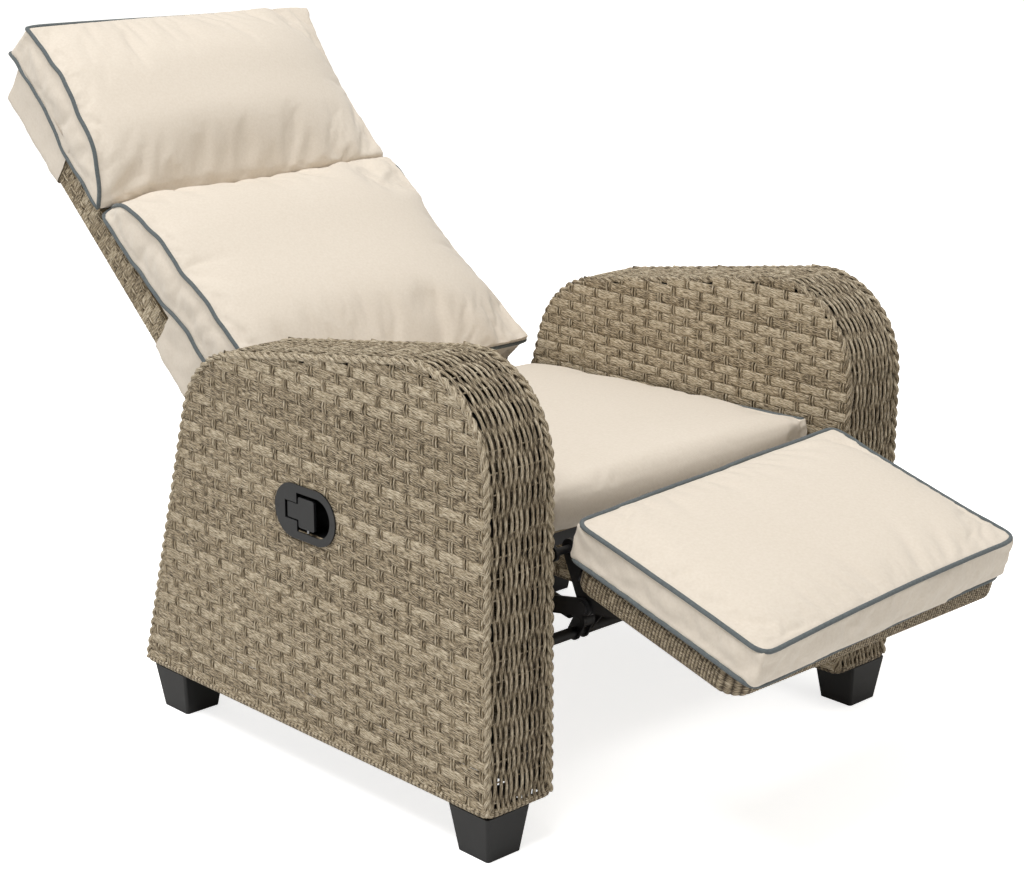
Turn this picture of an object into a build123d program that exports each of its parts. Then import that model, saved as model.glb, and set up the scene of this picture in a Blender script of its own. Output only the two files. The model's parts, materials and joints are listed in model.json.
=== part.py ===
from build123d import *
import os
from math import cos, sin, tan, radians, degrees, hypot, atan2

# A reclining garden armchair: two woven arm boxes on tapered feet, a seat slung between them,
# a reclining back, a footrest that folds out, and a pull handle in the sitter's right arm.
# Millimetres. X runs across the chair, with the sitter's right at -X. The front faces -Y, +Z is up.
# The chair is modelled with Y = 0 at the front of the arms, and moved at the end so that the
# origin is under the middle of its bounding box, on the floor. It is stored laid back.

# Arms
arm_outer_half = 390.0
arm_inner_half = 276.0
arm_foot_gap = 62.0
arm_front_height = 634.0
arm_top_slope = 9.0
arm_depth = 722.0
arm_rear_slope = 16.5
arm_front_radius = 130.0
arm_rear_radius = 136.0
arm_bottom_radius = 8.0
arm_panel_thickness = 4.0
arm_band_thickness = 5.0
arm_edge_step = 10.0
arm_braid_radius = 4.8
arm_braid_inset = 5.0
arm_face_margin = 2.4
arm_braid_clear = 0.3

# Arm steel frame
arm_tube_radius = 10.0
arm_tube_wall = 1.5
arm_loop_inset = 20.5
arm_loop_side_gap = 16.0
arm_loop_corner = 30.0
arm_spreader_radius = 8.0
arm_seat_rail_size = 20.0

# Feet
foot_top_size = 72.0
foot_bottom_size = 55.0
foot_edge_inset = 2.5
foot_front_y = 38.5
foot_rear_y = 662.5
foot_round = 4.0
foot_bolt_radius = 4.0
foot_bolt_head_radius = 7.0
foot_bolt_head = 5.0
foot_bolt_bore = 9.0
foot_recess = 40.0

# Seat
seat_front_y = 58.0
seat_plane_z = 374.0
seat_tilt = 2.2
seat_length = 536.0
seat_half_width = 271.0
seat_cushion_edge = 50.0
seat_cushion_crown = 11.0
seat_cushion_draw = 2.8
seat_cushion_rear_round = 24.0
cushion_quarter_share = 0.72
seat_rail_size = 20.0
seat_rail_wall = 2.0
seat_rail_outer_half = 266.0
seat_front_rail_back = 22.0
seat_rear_rail_back = 505.0
seat_side_rail_end = 548.0
seat_deck_thickness = 4.0
seat_deck_start = 14.0
seat_deck_end = 530.0
seat_bolt_radius = 4.0
seat_bolt_head_radius = 7.0
seat_bolt_head = 4.5
seat_bolt_front_back = 70.0
seat_bolt_rear_back = 450.0
seat_boss_radius = 9.0

# Stretchers between the arms
stretcher_radius = 8.0
stretcher_wall = 1.5
front_stretcher_y = 236.0
front_stretcher_z = 138.5
rear_stretcher_y = 590.0
rear_stretcher_z = 110.0
stretcher_flange_radius = 19.0
stretcher_flange = 4.0

# Footrest
footrest_hinge_y = 14.0
footrest_hinge_z = 372.0
footrest_tilt = 15.6
footrest_half_width = 257.0
footrest_front_reach = 300.0
footrest_rear_reach = 26.0
footrest_frame_height = 34.0
footrest_tube_radius = 10.0
footrest_tube_wall = 1.5
footrest_corner_radius = 30.0
footrest_wrap_round = 10.0
footrest_deck_thickness = 5.0
footrest_cushion_half_width = 262.0
footrest_cushion_front = 326.0
footrest_cushion_rear = 17.0
footrest_cushion_edge = 52.0
footrest_cushion_crown = 9.0
footrest_cushion_draw = 3.0
footrest_pin_radius = 5.0
footrest_fold = 70.0

# Backrest
back_pivot_y = 640.0
back_pivot_z = 347.0
back_recline = 41.5
back_raise = 30.0
back_half_width = 265.0
back_top_reach = 722.0
back_bottom_reach = 18.0
back_thickness = 34.0
back_rear_depth = 20.0
back_skin = 4.0
back_panel_start = 12.0
back_tube_size = 20.0
back_tube_wall = 1.5
back_cross_low = 135.0
back_cross_mid = 370.0
back_pin_radius = 6.0
back_cushion_half_width = 270.0
back_cushion_start = 50.0
back_fold_reach = 450.0
back_fold_gap = 0.6
back_fold_height = 62.0
back_cushion_edge = 84.0
back_cushion_side_drop = 16.0
back_cushion_bulge = 112.0
back_cushion_bulge_share = 0.36
pillow_top_reach = 756.0
pillow_top_height = 84.0
pillow_rear_height = 22.0
pillow_bulge = 118.0
pillow_bulge_share = 0.55
hood_thickness = 3.0
hood_length = 166.0
sleeve_start = 100.0
sleeve_end = 242.0

# Linkage plates and pins
plate_thickness = 5.0
link_thickness = 4.0
link_half_width = 11.0
link_pin_radius = 4.0
link_head_radius = 7.5
link_head = 4.0
link_nut = 4.0
lug_pin_back = 30.0
lug_pin_drop = 67.0
lug_foot_reach = 105.0
lug_foot_depth = 14.0
lug_ear_radius = 12.0
lever_pin_reach = 162.8
lever_pin_angle = 94.1
lever_upper_reach = 110.0
lever_half_width = 12.5
lever_cross_reach = 110.0
lever_cross_radius = 8.0
lever_cross_wall = 1.5

# Gas strut
strut_cylinder_radius = 11.0
strut_rod_radius = 5.0
strut_eye_radius = 16.0
strut_eye_half_width = 6.0
strut_front_y = 225.0
strut_front_offset = 24.0
strut_cylinder_length = 262.0
strut_rod_start = 90.0
strut_ear_gap = 0.5
strut_ear_thickness = 4.0
strut_pin_radius = 4.0
strut_arm_length = 34.0
strut_arm_thickness = 4.0
strut_arm_half_width = 7.0
strut_arm_bore = 1.6
cable_anchor_reach = 42.0

# Pull handle in the right arm
handle_y = 341.0
handle_z = 370.0
handle_length = 122.0
handle_height = 73.0
handle_rim = 10.5
handle_cup_share = 0.3
handle_cup_wall = 2.5
handle_cup_margin = 7.0
handle_window_rear = 16.0
paddle_neck_start = 12.0
paddle_neck_end = 36.0
paddle_neck_height = 21.0
paddle_neck_slack = 4.0
paddle_head_front = -18.0
paddle_head_rear = 14.0
paddle_head_height = 41.0
paddle_round = 3.0
paddle_thickness = 4.0
paddle_gap = 1.6
paddle_recess = 1.0
paddle_pivot = 32.0
paddle_barrel_radius = 4.5
paddle_pin_radius = 1.6
paddle_pin_reach = 27.0
paddle_stud_radius = 2.0
paddle_stud_drop = 4.0
paddle_stud_place = -4.0
handle_retainer_thickness = 2.5
handle_retainer_width = 8.0
handle_screw_radius = 1.8
handle_screw_head_radius = 3.4
handle_screw_head = 1.2
handle_screw_edge = 5.2
handle_spring_radius = 3.2
handle_spring_length = 7.0
gland_radius = 5.0
gland_length = 14.0
gland_bore = 1.6
gland_drop = 8.0

# Fits
face_gap = 0.3
link_gap = 0.5
running_gap = 0.05
overrun = 2.0

floor_z = 0.0
back_front_face = back_thickness / 2
back_rear_face = back_front_face + back_rear_depth
link_plane = back_half_width - back_skin - back_tube_size - plate_thickness
link_outer = link_plane + plate_thickness + link_gap
link_nut_face = link_plane - link_gap
handle_face = arm_outer_half - arm_face_margin
handle_front = arm_outer_half - arm_braid_clear
handle_cup_depth = (arm_outer_half - arm_inner_half) * handle_cup_share
paddle_front = handle_front - paddle_recess
paddle_axis = paddle_front - paddle_barrel_radius - paddle_gap


def span(x0, x1, y0, y1, z0, z1):
    """A box between the given limits."""
    block = Box(x1 - x0, y1 - y0, z1 - z0)
    return Pos((x0 + x1) / 2, (y0 + y1) / 2, (z0 + z1) / 2) * block


def rod_x(x0, x1, y, z, radius):
    """A round bar across the chair."""
    return Pos((x0 + x1) / 2, y, z) * Rot(Y=90) * Cylinder(radius, abs(x1 - x0))


def tube_x(x0, x1, y, z, radius, wall):
    """A round tube across the chair."""
    bore = rod_x(x0 - overrun, x1 + overrun, y, z, radius - wall)
    return rod_x(x0, x1, y, z, radius) - bore


def side_plate(sketch, x0, x1):
    """A sketch drawn in (y, z) made into a plate that lies between x0 and x1."""
    return extrude(Plane.YZ.offset(min(x0, x1)) * sketch, amount=abs(x1 - x0))


def square_tube(length, size, wall):
    """A square tube along Y, centred on its middle."""
    return Box(size, length, size) - Box(size - 2 * wall, length + 2 * overrun, size - 2 * wall)


def other_side(shape):
    """The same shape on the other side of the chair."""
    return mirror(shape, about=Plane.YZ)


def stadium(y0, z0, y1, z1, radius):
    """A flat bar with round ends between two centres, drawn in (y, z)."""
    length = hypot(y1 - y0, z1 - z0)
    turn = degrees(atan2(z1 - z0, y1 - y0))
    middle = Pos((y0 + y1) / 2, (z0 + z1) / 2)
    return middle * Rot(Z=turn) * SlotOverall(length + 2 * radius, 2 * radius)


# Frames of the three tilted groups
seat_place = Pos(0, seat_front_y, seat_plane_z) * Rot(X=-seat_tilt)
footrest_place = Pos(0, footrest_hinge_y, footrest_hinge_z) * Rot(X=footrest_tilt)
back_place = Pos(0, back_pivot_y, back_pivot_z) * Rot(X=back_recline)


def seat_point(back, up):
    """World (y, z) of a point of the seat group."""
    tilt = radians(seat_tilt)
    return (seat_front_y + back * cos(tilt) + up * sin(tilt),
            seat_plane_z - back * sin(tilt) + up * cos(tilt))


def footrest_point(back, up):
    """World (y, z) of a point of the footrest group."""
    tilt = radians(footrest_tilt)
    return (footrest_hinge_y + back * cos(tilt) - up * sin(tilt),
            footrest_hinge_z + back * sin(tilt) + up * cos(tilt))


link_front_y = footrest_hinge_y - lug_pin_back
link_front_z = footrest_hinge_z - lug_pin_drop
lever_turn = radians(-lever_pin_angle)
link_rear_y = back_pivot_y + lever_pin_reach * cos(lever_turn)
link_rear_z = back_pivot_z + lever_pin_reach * sin(lever_turn)
strut_slope = 90 - lever_pin_angle + back_raise / 2
strut_sag = lever_cross_reach * (1 - cos(radians(back_raise / 2)))
lever_cross_y = back_pivot_y + lever_cross_reach * cos(lever_turn)
lever_cross_z = back_pivot_z + lever_cross_reach * sin(lever_turn)
strut_run = (lever_cross_y - strut_front_y) / cos(radians(strut_slope))
strut_front_z = lever_cross_z - strut_run * sin(radians(strut_slope))


def lever_slot_travel():
    """How far the link's rear pin moves out along the lever's slot when half way folded."""
    fold = radians(footrest_fold / 2)
    swing_y = lug_pin_drop * sin(fold) - lug_pin_back * cos(fold)
    swing_z = -lug_pin_drop * cos(fold) - lug_pin_back * sin(fold)
    away_y = link_rear_y + swing_y + lug_pin_back - back_pivot_y
    away_z = link_rear_z + swing_z + lug_pin_drop - back_pivot_z
    return hypot(away_y, away_z) - lever_pin_reach


# Arms


def arm_corners(inset, bottom):
    """The four corners of the arm's side outline, moved in by inset."""
    slope = radians(arm_top_slope)
    lean = radians(arm_rear_slope)
    top_at_front = arm_front_height - inset / cos(slope) - inset * tan(slope)
    rear_at_bottom = arm_depth - inset / cos(lean) - (bottom - arm_foot_gap) * tan(lean)
    top_start = arm_front_height - inset / cos(slope)
    rear_y = (rear_at_bottom - (top_start - bottom) * tan(lean)) / (1 - tan(slope) * tan(lean))
    rear_z = top_start - rear_y * tan(slope)
    return [(inset, bottom), (inset, top_at_front), (rear_y, rear_z), (rear_at_bottom, bottom)]


def arm_wire(inset, bottom, bottom_radius, closed):
    """The arm's side outline as a line with round corners, drawn in (y, z)."""
    corners = arm_corners(inset, bottom)
    front = arm_front_radius - inset
    rear = arm_rear_radius - inset
    if closed:
        radii = [bottom_radius, front, rear, bottom_radius]
        return FilletPolyline(*corners, radius=radii, close=True)
    return FilletPolyline(*corners, radius=[front, rear])


def arm_outline(inset, bottom):
    """The arm's side outline as a face, drawn in (y, z)."""
    return make_face(arm_wire(inset, bottom, arm_bottom_radius, True))


def arm_panel(x0, x1):
    return side_plate(arm_outline(arm_edge_step, arm_foot_gap), x0, x1)


def arm_band():
    """The woven strip that runs up the front, over the top and down the rear."""
    x0 = arm_inner_half + arm_edge_step
    x1 = arm_outer_half - arm_edge_step
    outer = side_plate(arm_outline(0, arm_foot_gap), x0, x1)
    hollow = arm_outline(arm_band_thickness, arm_foot_gap - overrun)
    return outer - side_plate(hollow, x0 - overrun, x1 + overrun)


def arm_braids():
    """The two twisted border cords, as plain cords, between the strip and the side panels."""
    reach = arm_braid_radius + arm_braid_clear
    route = arm_wire(arm_braid_inset, arm_foot_gap, arm_bottom_radius, False)
    cords = []
    for x in (arm_inner_half + reach, arm_outer_half - reach):
        path = Plane.YZ.offset(x) * route
        ring = Plane(origin=path @ 0, z_dir=path % 0) * Circle(arm_braid_radius)
        cords.append(sweep(ring, path=path))
    return Compound(cords)


def arm_loop(x):
    """One bent steel tube that follows the arm's outline."""
    bottom = arm_foot_gap + arm_tube_radius
    route = arm_wire(arm_loop_inset, bottom, arm_loop_corner, True)
    path = Plane.YZ.offset(x) * route
    start = Plane(origin=path @ 0, z_dir=path % 0)
    solid = sweep(start * Circle(arm_tube_radius), path=path)
    return solid - sweep(start * Circle(arm_tube_radius - arm_tube_wall), path=path)


def arm_loop_places():
    """The x of the inner and of the outer bent tube of an arm."""
    outer = handle_face - arm_panel_thickness - arm_tube_radius - face_gap
    return arm_inner_half + arm_loop_side_gap, outer


def arm_top_line(inset, y):
    """Height of the arm's sloping top, moved in by inset, at a distance y from its front."""
    slope = radians(arm_top_slope)
    return arm_front_height - inset / cos(slope) - y * tan(slope)


def arm_spreaders():
    """The round bars between the two bent tubes."""
    low = arm_foot_gap + arm_tube_radius
    inner, outer = arm_loop_places()
    places = [(foot_front_y, low), (front_stretcher_y, low), (foot_rear_y, low),
              (arm_loop_inset, seat_plane_z),
              (arm_front_radius, arm_top_line(arm_loop_inset, arm_front_radius))]
    bars = [rod_x(inner + arm_tube_wall, outer - arm_tube_wall, y, z, arm_spreader_radius)
            for y, z in places]
    for y in (foot_front_y, foot_rear_y):
        bars.append(span(inner, outer, y - arm_tube_radius, y + arm_tube_radius,
                         arm_foot_gap, arm_foot_gap + 2 * arm_tube_wall))
    return bars


def arm_posts():
    """The upright bars at the seat's bolts and at the stretchers."""
    low = arm_foot_gap + arm_tube_radius
    half = arm_seat_rail_size / 2
    inner = arm_loop_places()[0]
    posts = []
    for y, _ in seat_bolt_places():
        top = arm_top_line(arm_loop_inset + arm_tube_radius, y)
        posts.append(span(inner - half, inner + half, y - half, y + half, low, top))
    for y, z in stretcher_places():
        posts.append(span(inner - half, inner + half, y - half, y + half, low, z + half))
    return posts


def arm_seat_rail():
    """The square tube along the inner side of an arm frame, level with the seat's rails."""
    low = arm_foot_gap + arm_tube_radius
    drop = seat_deck_thickness + seat_rail_size / 2
    end_z = seat_point(seat_side_rail_end, -drop)[1]
    rear_low = arm_corners(arm_loop_inset, low)[3][0]
    end_y = rear_low - (end_z - low) * tan(radians(arm_rear_slope))
    middle_y = (arm_loop_inset + end_y) / 2
    middle_z = seat_point(middle_y - seat_front_y, -drop)[1]
    rail = square_tube(end_y - arm_loop_inset, arm_seat_rail_size, arm_tube_wall)
    return Pos(arm_loop_places()[0], middle_y, middle_z) * Rot(X=-seat_tilt) * rail


def arm_frame():
    """The welded frame inside one arm: two bent tubes, spreaders, posts and a rail."""
    inner, outer = arm_loop_places()
    frame = arm_loop(inner) + arm_loop(outer) + arm_seat_rail()
    for bar in arm_spreaders() + arm_posts():
        frame += bar
    boss_start = seat_rail_outer_half + plate_thickness
    bolt_end = inner + 2 * arm_tube_radius
    for y, z in seat_bolt_places():
        frame += rod_x(boss_start, inner, y, z, seat_boss_radius)
        frame -= rod_x(boss_start - overrun, bolt_end, y, z, seat_bolt_radius + running_gap)
    for y, z in stretcher_places():
        frame -= rod_x(arm_inner_half, bolt_end, y, z, seat_bolt_radius + running_gap)
    for y in (foot_front_y, foot_rear_y):
        bore = Cylinder(foot_bolt_radius + running_gap, 2 * foot_recess)
        frame -= Pos(foot_centre_x(), y, arm_foot_gap) * bore
    return frame


def arm_inner_panel():
    """The woven panel beside the sitter, pierced for the seat's and the stretchers' bolts."""
    panel = arm_panel(arm_inner_half + face_gap, arm_inner_half + face_gap + arm_panel_thickness)
    for y, z in seat_bolt_places() + stretcher_places():
        panel -= rod_x(arm_inner_half - overrun, arm_inner_half + arm_edge_step, y, z,
                       seat_boss_radius + face_gap)
    return panel


def arm_outer_panel(with_handle):
    """The woven panel on the outside, with the opening for the pull handle on one arm."""
    panel = arm_panel(handle_face - arm_panel_thickness, handle_face)
    if with_handle:
        hole = handle_slot(handle_cup_margin - face_gap)
        panel -= side_plate(hole, handle_face - 2 * arm_panel_thickness, handle_face + overrun)
        for y in handle_screw_places():
            panel -= rod_x(handle_face - 2 * arm_panel_thickness, handle_face + overrun, y,
                           handle_z, handle_screw_radius + running_gap)
    return panel


# Feet


def foot_centre_x():
    return arm_outer_half - foot_edge_inset - foot_top_size / 2


def foot(y):
    """A tapered moulded foot, hollow from below for its bolt."""
    x = foot_centre_x()
    base = Pos(x, y, floor_z) * RectangleRounded(foot_bottom_size, foot_bottom_size, foot_round)
    top = Pos(x, y, arm_foot_gap) * RectangleRounded(foot_top_size, foot_top_size, foot_round)
    body = loft([base.face(), top.face()], ruled=True)
    recess = Pos(x, y, foot_recess / 2) * Cylinder(foot_bolt_bore, foot_recess)
    bore = Pos(x, y, arm_foot_gap) * Cylinder(foot_bolt_radius + running_gap, foot_recess * 2)
    return body - recess - bore


def foot_bolts():
    """One bolt up through each foot into the arm frame."""
    bolts = []
    x = foot_centre_x()
    stem_top = arm_foot_gap + arm_tube_radius
    for side in (-1, 1):
        for y in (foot_front_y, foot_rear_y):
            head = Pos(side * x, y, foot_recess - foot_bolt_head / 2)
            stem = Pos(side * x, y, (foot_recess + stem_top) / 2)
            bolts.append(head * Cylinder(foot_bolt_head_radius, foot_bolt_head)
                         + stem * Cylinder(foot_bolt_radius, stem_top - foot_recess))
    return Compound(bolts)


# Seat


def seat_bolt_places():
    """World (y, z) of the bolts that hold the seat rails to an arm."""
    return [seat_point(seat_bolt_front_back, -seat_rail_size / 2 - seat_deck_thickness),
            seat_point(seat_bolt_rear_back, -seat_rail_size / 2 - seat_deck_thickness)]


def seat_side_rail():
    length = seat_side_rail_end - seat_front_rail_back
    x = seat_rail_outer_half - seat_rail_size / 2
    drop = seat_deck_thickness + seat_rail_size / 2
    place = Pos(x, (seat_side_rail_end + seat_front_rail_back) / 2, -drop)
    rail = seat_place * place * square_tube(length, seat_rail_size, seat_rail_wall)
    for y, z in seat_bolt_places():
        rail -= rod_x(x - seat_rail_size, x + seat_rail_size, y, z,
                      seat_bolt_radius + running_gap)
    return rail


def seat_cross_rail(back):
    """A square tube between the two side rails."""
    length = 2 * (seat_rail_outer_half - seat_rail_size)
    drop = seat_deck_thickness + seat_rail_size / 2
    place = Pos(0, back + seat_rail_size / 2, -drop) * Rot(Z=90)
    return seat_place * place * square_tube(length, seat_rail_size, seat_rail_wall)


def seat_deck():
    """The woven deck that carries the cushion."""
    half = seat_rail_outer_half
    deck = span(-half, half, seat_deck_start, seat_deck_end, -seat_deck_thickness, 0)
    return seat_place * deck


def frame_bolts():
    """The bolts that hold the seat rails and the stretchers to the arm frames."""
    bolts = []
    rail = seat_rail_outer_half - seat_rail_size
    arm = arm_inner_half + arm_loop_side_gap + arm_seat_rail_size / 2
    flange = arm_inner_half + face_gap
    for side in (-1, 1):
        for y, z in seat_bolt_places():
            head = rod_x(side * (rail - seat_bolt_head), side * rail, y, z, seat_bolt_head_radius)
            bolts.append(head + rod_x(side * rail, side * arm, y, z, seat_bolt_radius))
        for y, z in stretcher_places():
            head = rod_x(side * arm, side * (arm + seat_bolt_head), y, z, seat_bolt_head_radius)
            bolts.append(head + rod_x(side * (flange - stretcher_flange), side * arm, y, z,
                                      seat_bolt_radius))
    return Compound(bolts)


def stretcher_places():
    """World (y, z) of the two stretchers."""
    return [(front_stretcher_y, front_stretcher_z), (rear_stretcher_y, rear_stretcher_z)]


def crowned_section(x, y0, y1, base, edge, crown):
    """One closed outline across a cushion, flat below and arched above."""
    below = Polyline((x, y0, base + edge), (x, y0, base), (x, y1, base), (x, y1, base + edge))
    arch = ThreePointArc((x, y1, base + edge), (x, (y0 + y1) / 2, base + edge + crown),
                         (x, y0, base + edge))
    return make_face(below + arch)


def crowned_cushion(half, y0, y1, base, edge, crown, draw):
    """A boxed cushion: crowned on top, with its front and rear drawn in between the corners."""
    faces = []
    for share in (-1, -cushion_quarter_share, 0, cushion_quarter_share, 1):
        rise = 1 - share * share
        pull = draw * rise
        faces.append(crowned_section(half * share, y0 + pull, y1 - pull, base, edge,
                                     crown * (rise + 1) / 2))
    return loft(faces)


def seat_cushion():
    pad = crowned_cushion(seat_half_width, 0, seat_length, face_gap, seat_cushion_edge,
                          seat_cushion_crown, seat_cushion_draw)
    keep_front = seat_length - seat_cushion_rear_round
    top = face_gap + seat_cushion_edge
    reach = seat_half_width + overrun
    corner = span(-reach, reach, keep_front, seat_length + overrun,
                  top - seat_cushion_rear_round, top + seat_cushion_crown + overrun)
    corner -= rod_x(-reach - overrun, reach + overrun, keep_front,
                    top - seat_cushion_rear_round, seat_cushion_rear_round)
    return seat_place * (pad - corner)


def stretcher(y, z):
    """A round tube that ties the two arms together, flanged at both ends."""
    half = arm_inner_half - stretcher_flange + face_gap
    tube = tube_x(-half, half, y, z, stretcher_radius, stretcher_wall)
    for side in (-1, 1):
        tube += rod_x(side * half, side * (half + stretcher_flange), y, z,
                      stretcher_flange_radius)
        tube -= rod_x(side * (half - overrun), side * (half + 2 * stretcher_flange), y, z,
                      seat_bolt_radius + running_gap)
    return tube


def front_stretcher():
    """The front stretcher, with the welded ears of the strut and the arm that anchors its cable."""
    tube = stretcher(front_stretcher_y, front_stretcher_z)
    inner = strut_eye_half_width + strut_ear_gap
    outer = inner + strut_ear_thickness
    bore = stretcher_radius - stretcher_wall
    for side in (-1, 1):
        sketch = stadium(front_stretcher_y, front_stretcher_z, strut_front_y, strut_front_z,
                         strut_cylinder_radius)
        sketch -= Pos(front_stretcher_y, front_stretcher_z) * Circle(bore)
        sketch -= Pos(strut_front_y, strut_front_z) * Circle(strut_pin_radius + running_gap)
        tube += side_plate(sketch, side * inner, side * outer)
    far_y = front_stretcher_y - cable_anchor_reach
    far_z = strut_front_z + strut_arm_length
    start = outer + strut_ear_gap * 2 + strut_arm_thickness
    sketch = stadium(front_stretcher_y, front_stretcher_z, far_y, far_z, strut_arm_half_width)
    sketch -= Pos(front_stretcher_y, front_stretcher_z) * Circle(bore)
    tube += side_plate(sketch, start, start + strut_arm_thickness)
    middle = Pos(start + strut_arm_thickness / 2, far_y, far_z) * Rot(X=90)
    tube += middle * Cylinder(gland_radius, gland_length)
    return tube - middle * Cylinder(gland_bore, gland_length + 2 * overrun)


# Fixed hinge plates


def footrest_hinge_plate():
    """The plate on the seat rail that carries the footrest's hinge pin."""
    half = seat_rail_size / 2
    drop = seat_deck_thickness + half
    front_y, front_z = seat_point(seat_front_rail_back, -drop)
    rear_y, rear_z = seat_point(seat_bolt_front_back + seat_rail_size, -drop)
    sketch = stadium(footrest_hinge_y, footrest_hinge_z, front_y, front_z, half)
    sketch += stadium(front_y, front_z, rear_y, rear_z, half)
    sketch -= Pos(footrest_hinge_y, footrest_hinge_z) * Circle(footrest_pin_radius + running_gap)
    plate = side_plate(sketch, seat_rail_outer_half, seat_rail_outer_half + plate_thickness)
    y, z = seat_bolt_places()[0]
    return plate - rod_x(seat_rail_outer_half - overrun, arm_inner_half, y, z,
                         seat_bolt_radius + running_gap)


def back_pivot_plate():
    """The plate on the seat rail that carries the back's pivot pin."""
    half = seat_rail_size / 2
    drop = seat_deck_thickness + half
    front_y, front_z = seat_point(seat_bolt_rear_back - seat_rail_size, -drop)
    rear_y, rear_z = seat_point(seat_side_rail_end - half, -drop)
    ear = back_pin_radius * 2
    sketch = stadium(front_y, front_z, rear_y, rear_z, half)
    sketch += stadium(rear_y, rear_z, back_pivot_y, back_pivot_z, ear)
    sketch -= Pos(back_pivot_y, back_pivot_z) * Circle(back_pin_radius + running_gap)
    plate = side_plate(sketch, seat_rail_outer_half, seat_rail_outer_half + plate_thickness)
    y, z = seat_bolt_places()[1]
    return plate - rod_x(seat_rail_outer_half - overrun, arm_inner_half, y, z,
                         seat_bolt_radius + running_gap)


def hinge_pins():
    """The pins of the footrest and of the back on each side, and the strut's front pin."""
    pins = []
    start = link_plane - link_nut / 2
    end = seat_rail_outer_half + plate_thickness
    for side in (-1, 1):
        pins.append(rod_x(side * start, side * end, footrest_hinge_y, footrest_hinge_z,
                          footrest_pin_radius))
        pins.append(rod_x(side * start, side * end, back_pivot_y, back_pivot_z, back_pin_radius))
    reach = strut_eye_half_width + strut_ear_gap * 2 + strut_ear_thickness
    pins.append(rod_x(-reach, reach + strut_arm_thickness, strut_front_y, strut_front_z,
                      strut_pin_radius))
    return Compound(pins)


# Footrest


def footrest_tube(radius):
    """A round bar along the middle of the footrest's frame."""
    size = footrest_frame_height
    half = footrest_half_width - size / 2
    front = -footrest_front_reach + size / 2
    rear = -footrest_rear_reach - size / 2
    corners = [(half, rear), (half, front), (-half, front), (-half, rear)]
    route = FilletPolyline(*corners, radius=footrest_corner_radius - size / 2, close=True)
    path = Pos(0, 0, -size / 2) * route
    start = Plane(origin=path @ 0, z_dir=path % 0)
    return sweep(start * Circle(radius), path=path)


def footrest_frame():
    """The bent steel tube inside the footrest."""
    tube = footrest_tube(footrest_tube_radius)
    return footrest_place * (tube - footrest_tube(footrest_tube_radius - footrest_tube_wall))


def footrest_wrap():
    """The cane wound round the footrest's tube, as a ring with rounded edges."""
    size = footrest_frame_height
    length = footrest_front_reach - footrest_rear_reach
    middle = Pos(0, -(footrest_front_reach + footrest_rear_reach) / 2)
    outer = RectangleRounded(2 * footrest_half_width, length, footrest_corner_radius)
    inner = Rectangle(2 * (footrest_half_width - size), length - 2 * size)
    ring = extrude(middle * (outer - inner), amount=-size)
    ring = fillet(ring.edges().filter_by(Axis.Z, reverse=True), footrest_wrap_round)
    return footrest_place * (ring - footrest_tube(footrest_tube_radius + running_gap))


def footrest_deck():
    """The woven deck inside the wrapped tube."""
    size = footrest_frame_height
    length = footrest_front_reach - footrest_rear_reach - 2 * size
    middle = -(footrest_front_reach + footrest_rear_reach) / 2
    sheet = Rectangle(2 * (footrest_half_width - size), length)
    low = -(size + footrest_deck_thickness) / 2
    return footrest_place * Pos(0, middle, low) * extrude(sheet, amount=footrest_deck_thickness)


def footrest_cushion():
    pad = crowned_cushion(footrest_cushion_half_width, -footrest_cushion_front,
                          -footrest_cushion_rear, face_gap, footrest_cushion_edge,
                          footrest_cushion_crown, footrest_cushion_draw)
    return footrest_place * pad


def footrest_lug():
    """The bent plate under the footrest that holds its hinge pin and the long link's pin."""
    below = -footrest_frame_height - face_gap / 3
    pin_y, pin_z = link_front_y, link_front_z
    ear = stadium(footrest_hinge_y, footrest_hinge_z, pin_y, pin_z, lug_ear_radius)
    foot_flat = make_face(Polyline(
        footrest_point(-footrest_rear_reach - lug_ear_radius, below),
        footrest_point(-lug_foot_reach, below),
        footrest_point(-lug_foot_reach, below - lug_foot_depth / 2),
        footrest_point(-lug_foot_reach / 2, below - 2 * lug_foot_depth),
        footrest_point(-footrest_rear_reach, below - 2 * lug_foot_depth),
        close=True))
    sketch = ear + foot_flat
    sketch -= Pos(footrest_hinge_y, footrest_hinge_z) * Circle(footrest_pin_radius + running_gap)
    sketch -= Pos(pin_y, pin_z) * Circle(link_pin_radius + running_gap)
    plate = side_plate(sketch, link_plane, link_plane + plate_thickness)
    block = span(link_plane - overrun, footrest_half_width, -footrest_front_reach,
                 -footrest_rear_reach + face_gap, below, footrest_frame_height)
    return plate - footrest_place * block


# Links


def link(side):
    """The long flat bar from the footrest's plate to the back's lever."""
    sketch = stadium(link_front_y, link_front_z, link_rear_y, link_rear_z, link_half_width)
    sketch -= Pos(link_front_y, link_front_z) * Circle(link_pin_radius + running_gap)
    sketch -= Pos(link_rear_y, link_rear_z) * Circle(link_pin_radius)
    return side_plate(sketch, side * link_outer, side * (link_outer + link_thickness))


def link_pins(side):
    """The bolt at each end of a link, with its head outside and its nut inside."""
    pins = []
    outer = link_outer + link_thickness
    for y, z in ((link_front_y, link_front_z), (link_rear_y, link_rear_z)):
        pin = rod_x(side * link_nut_face, side * outer, y, z, link_pin_radius)
        pin += rod_x(side * outer, side * (outer + link_head), y, z, link_head_radius)
        pin += rod_x(side * (link_nut_face - link_nut), side * link_nut_face, y, z,
                     link_head_radius)
        pins.append(pin)
    return Compound(pins)


# Backrest


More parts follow.
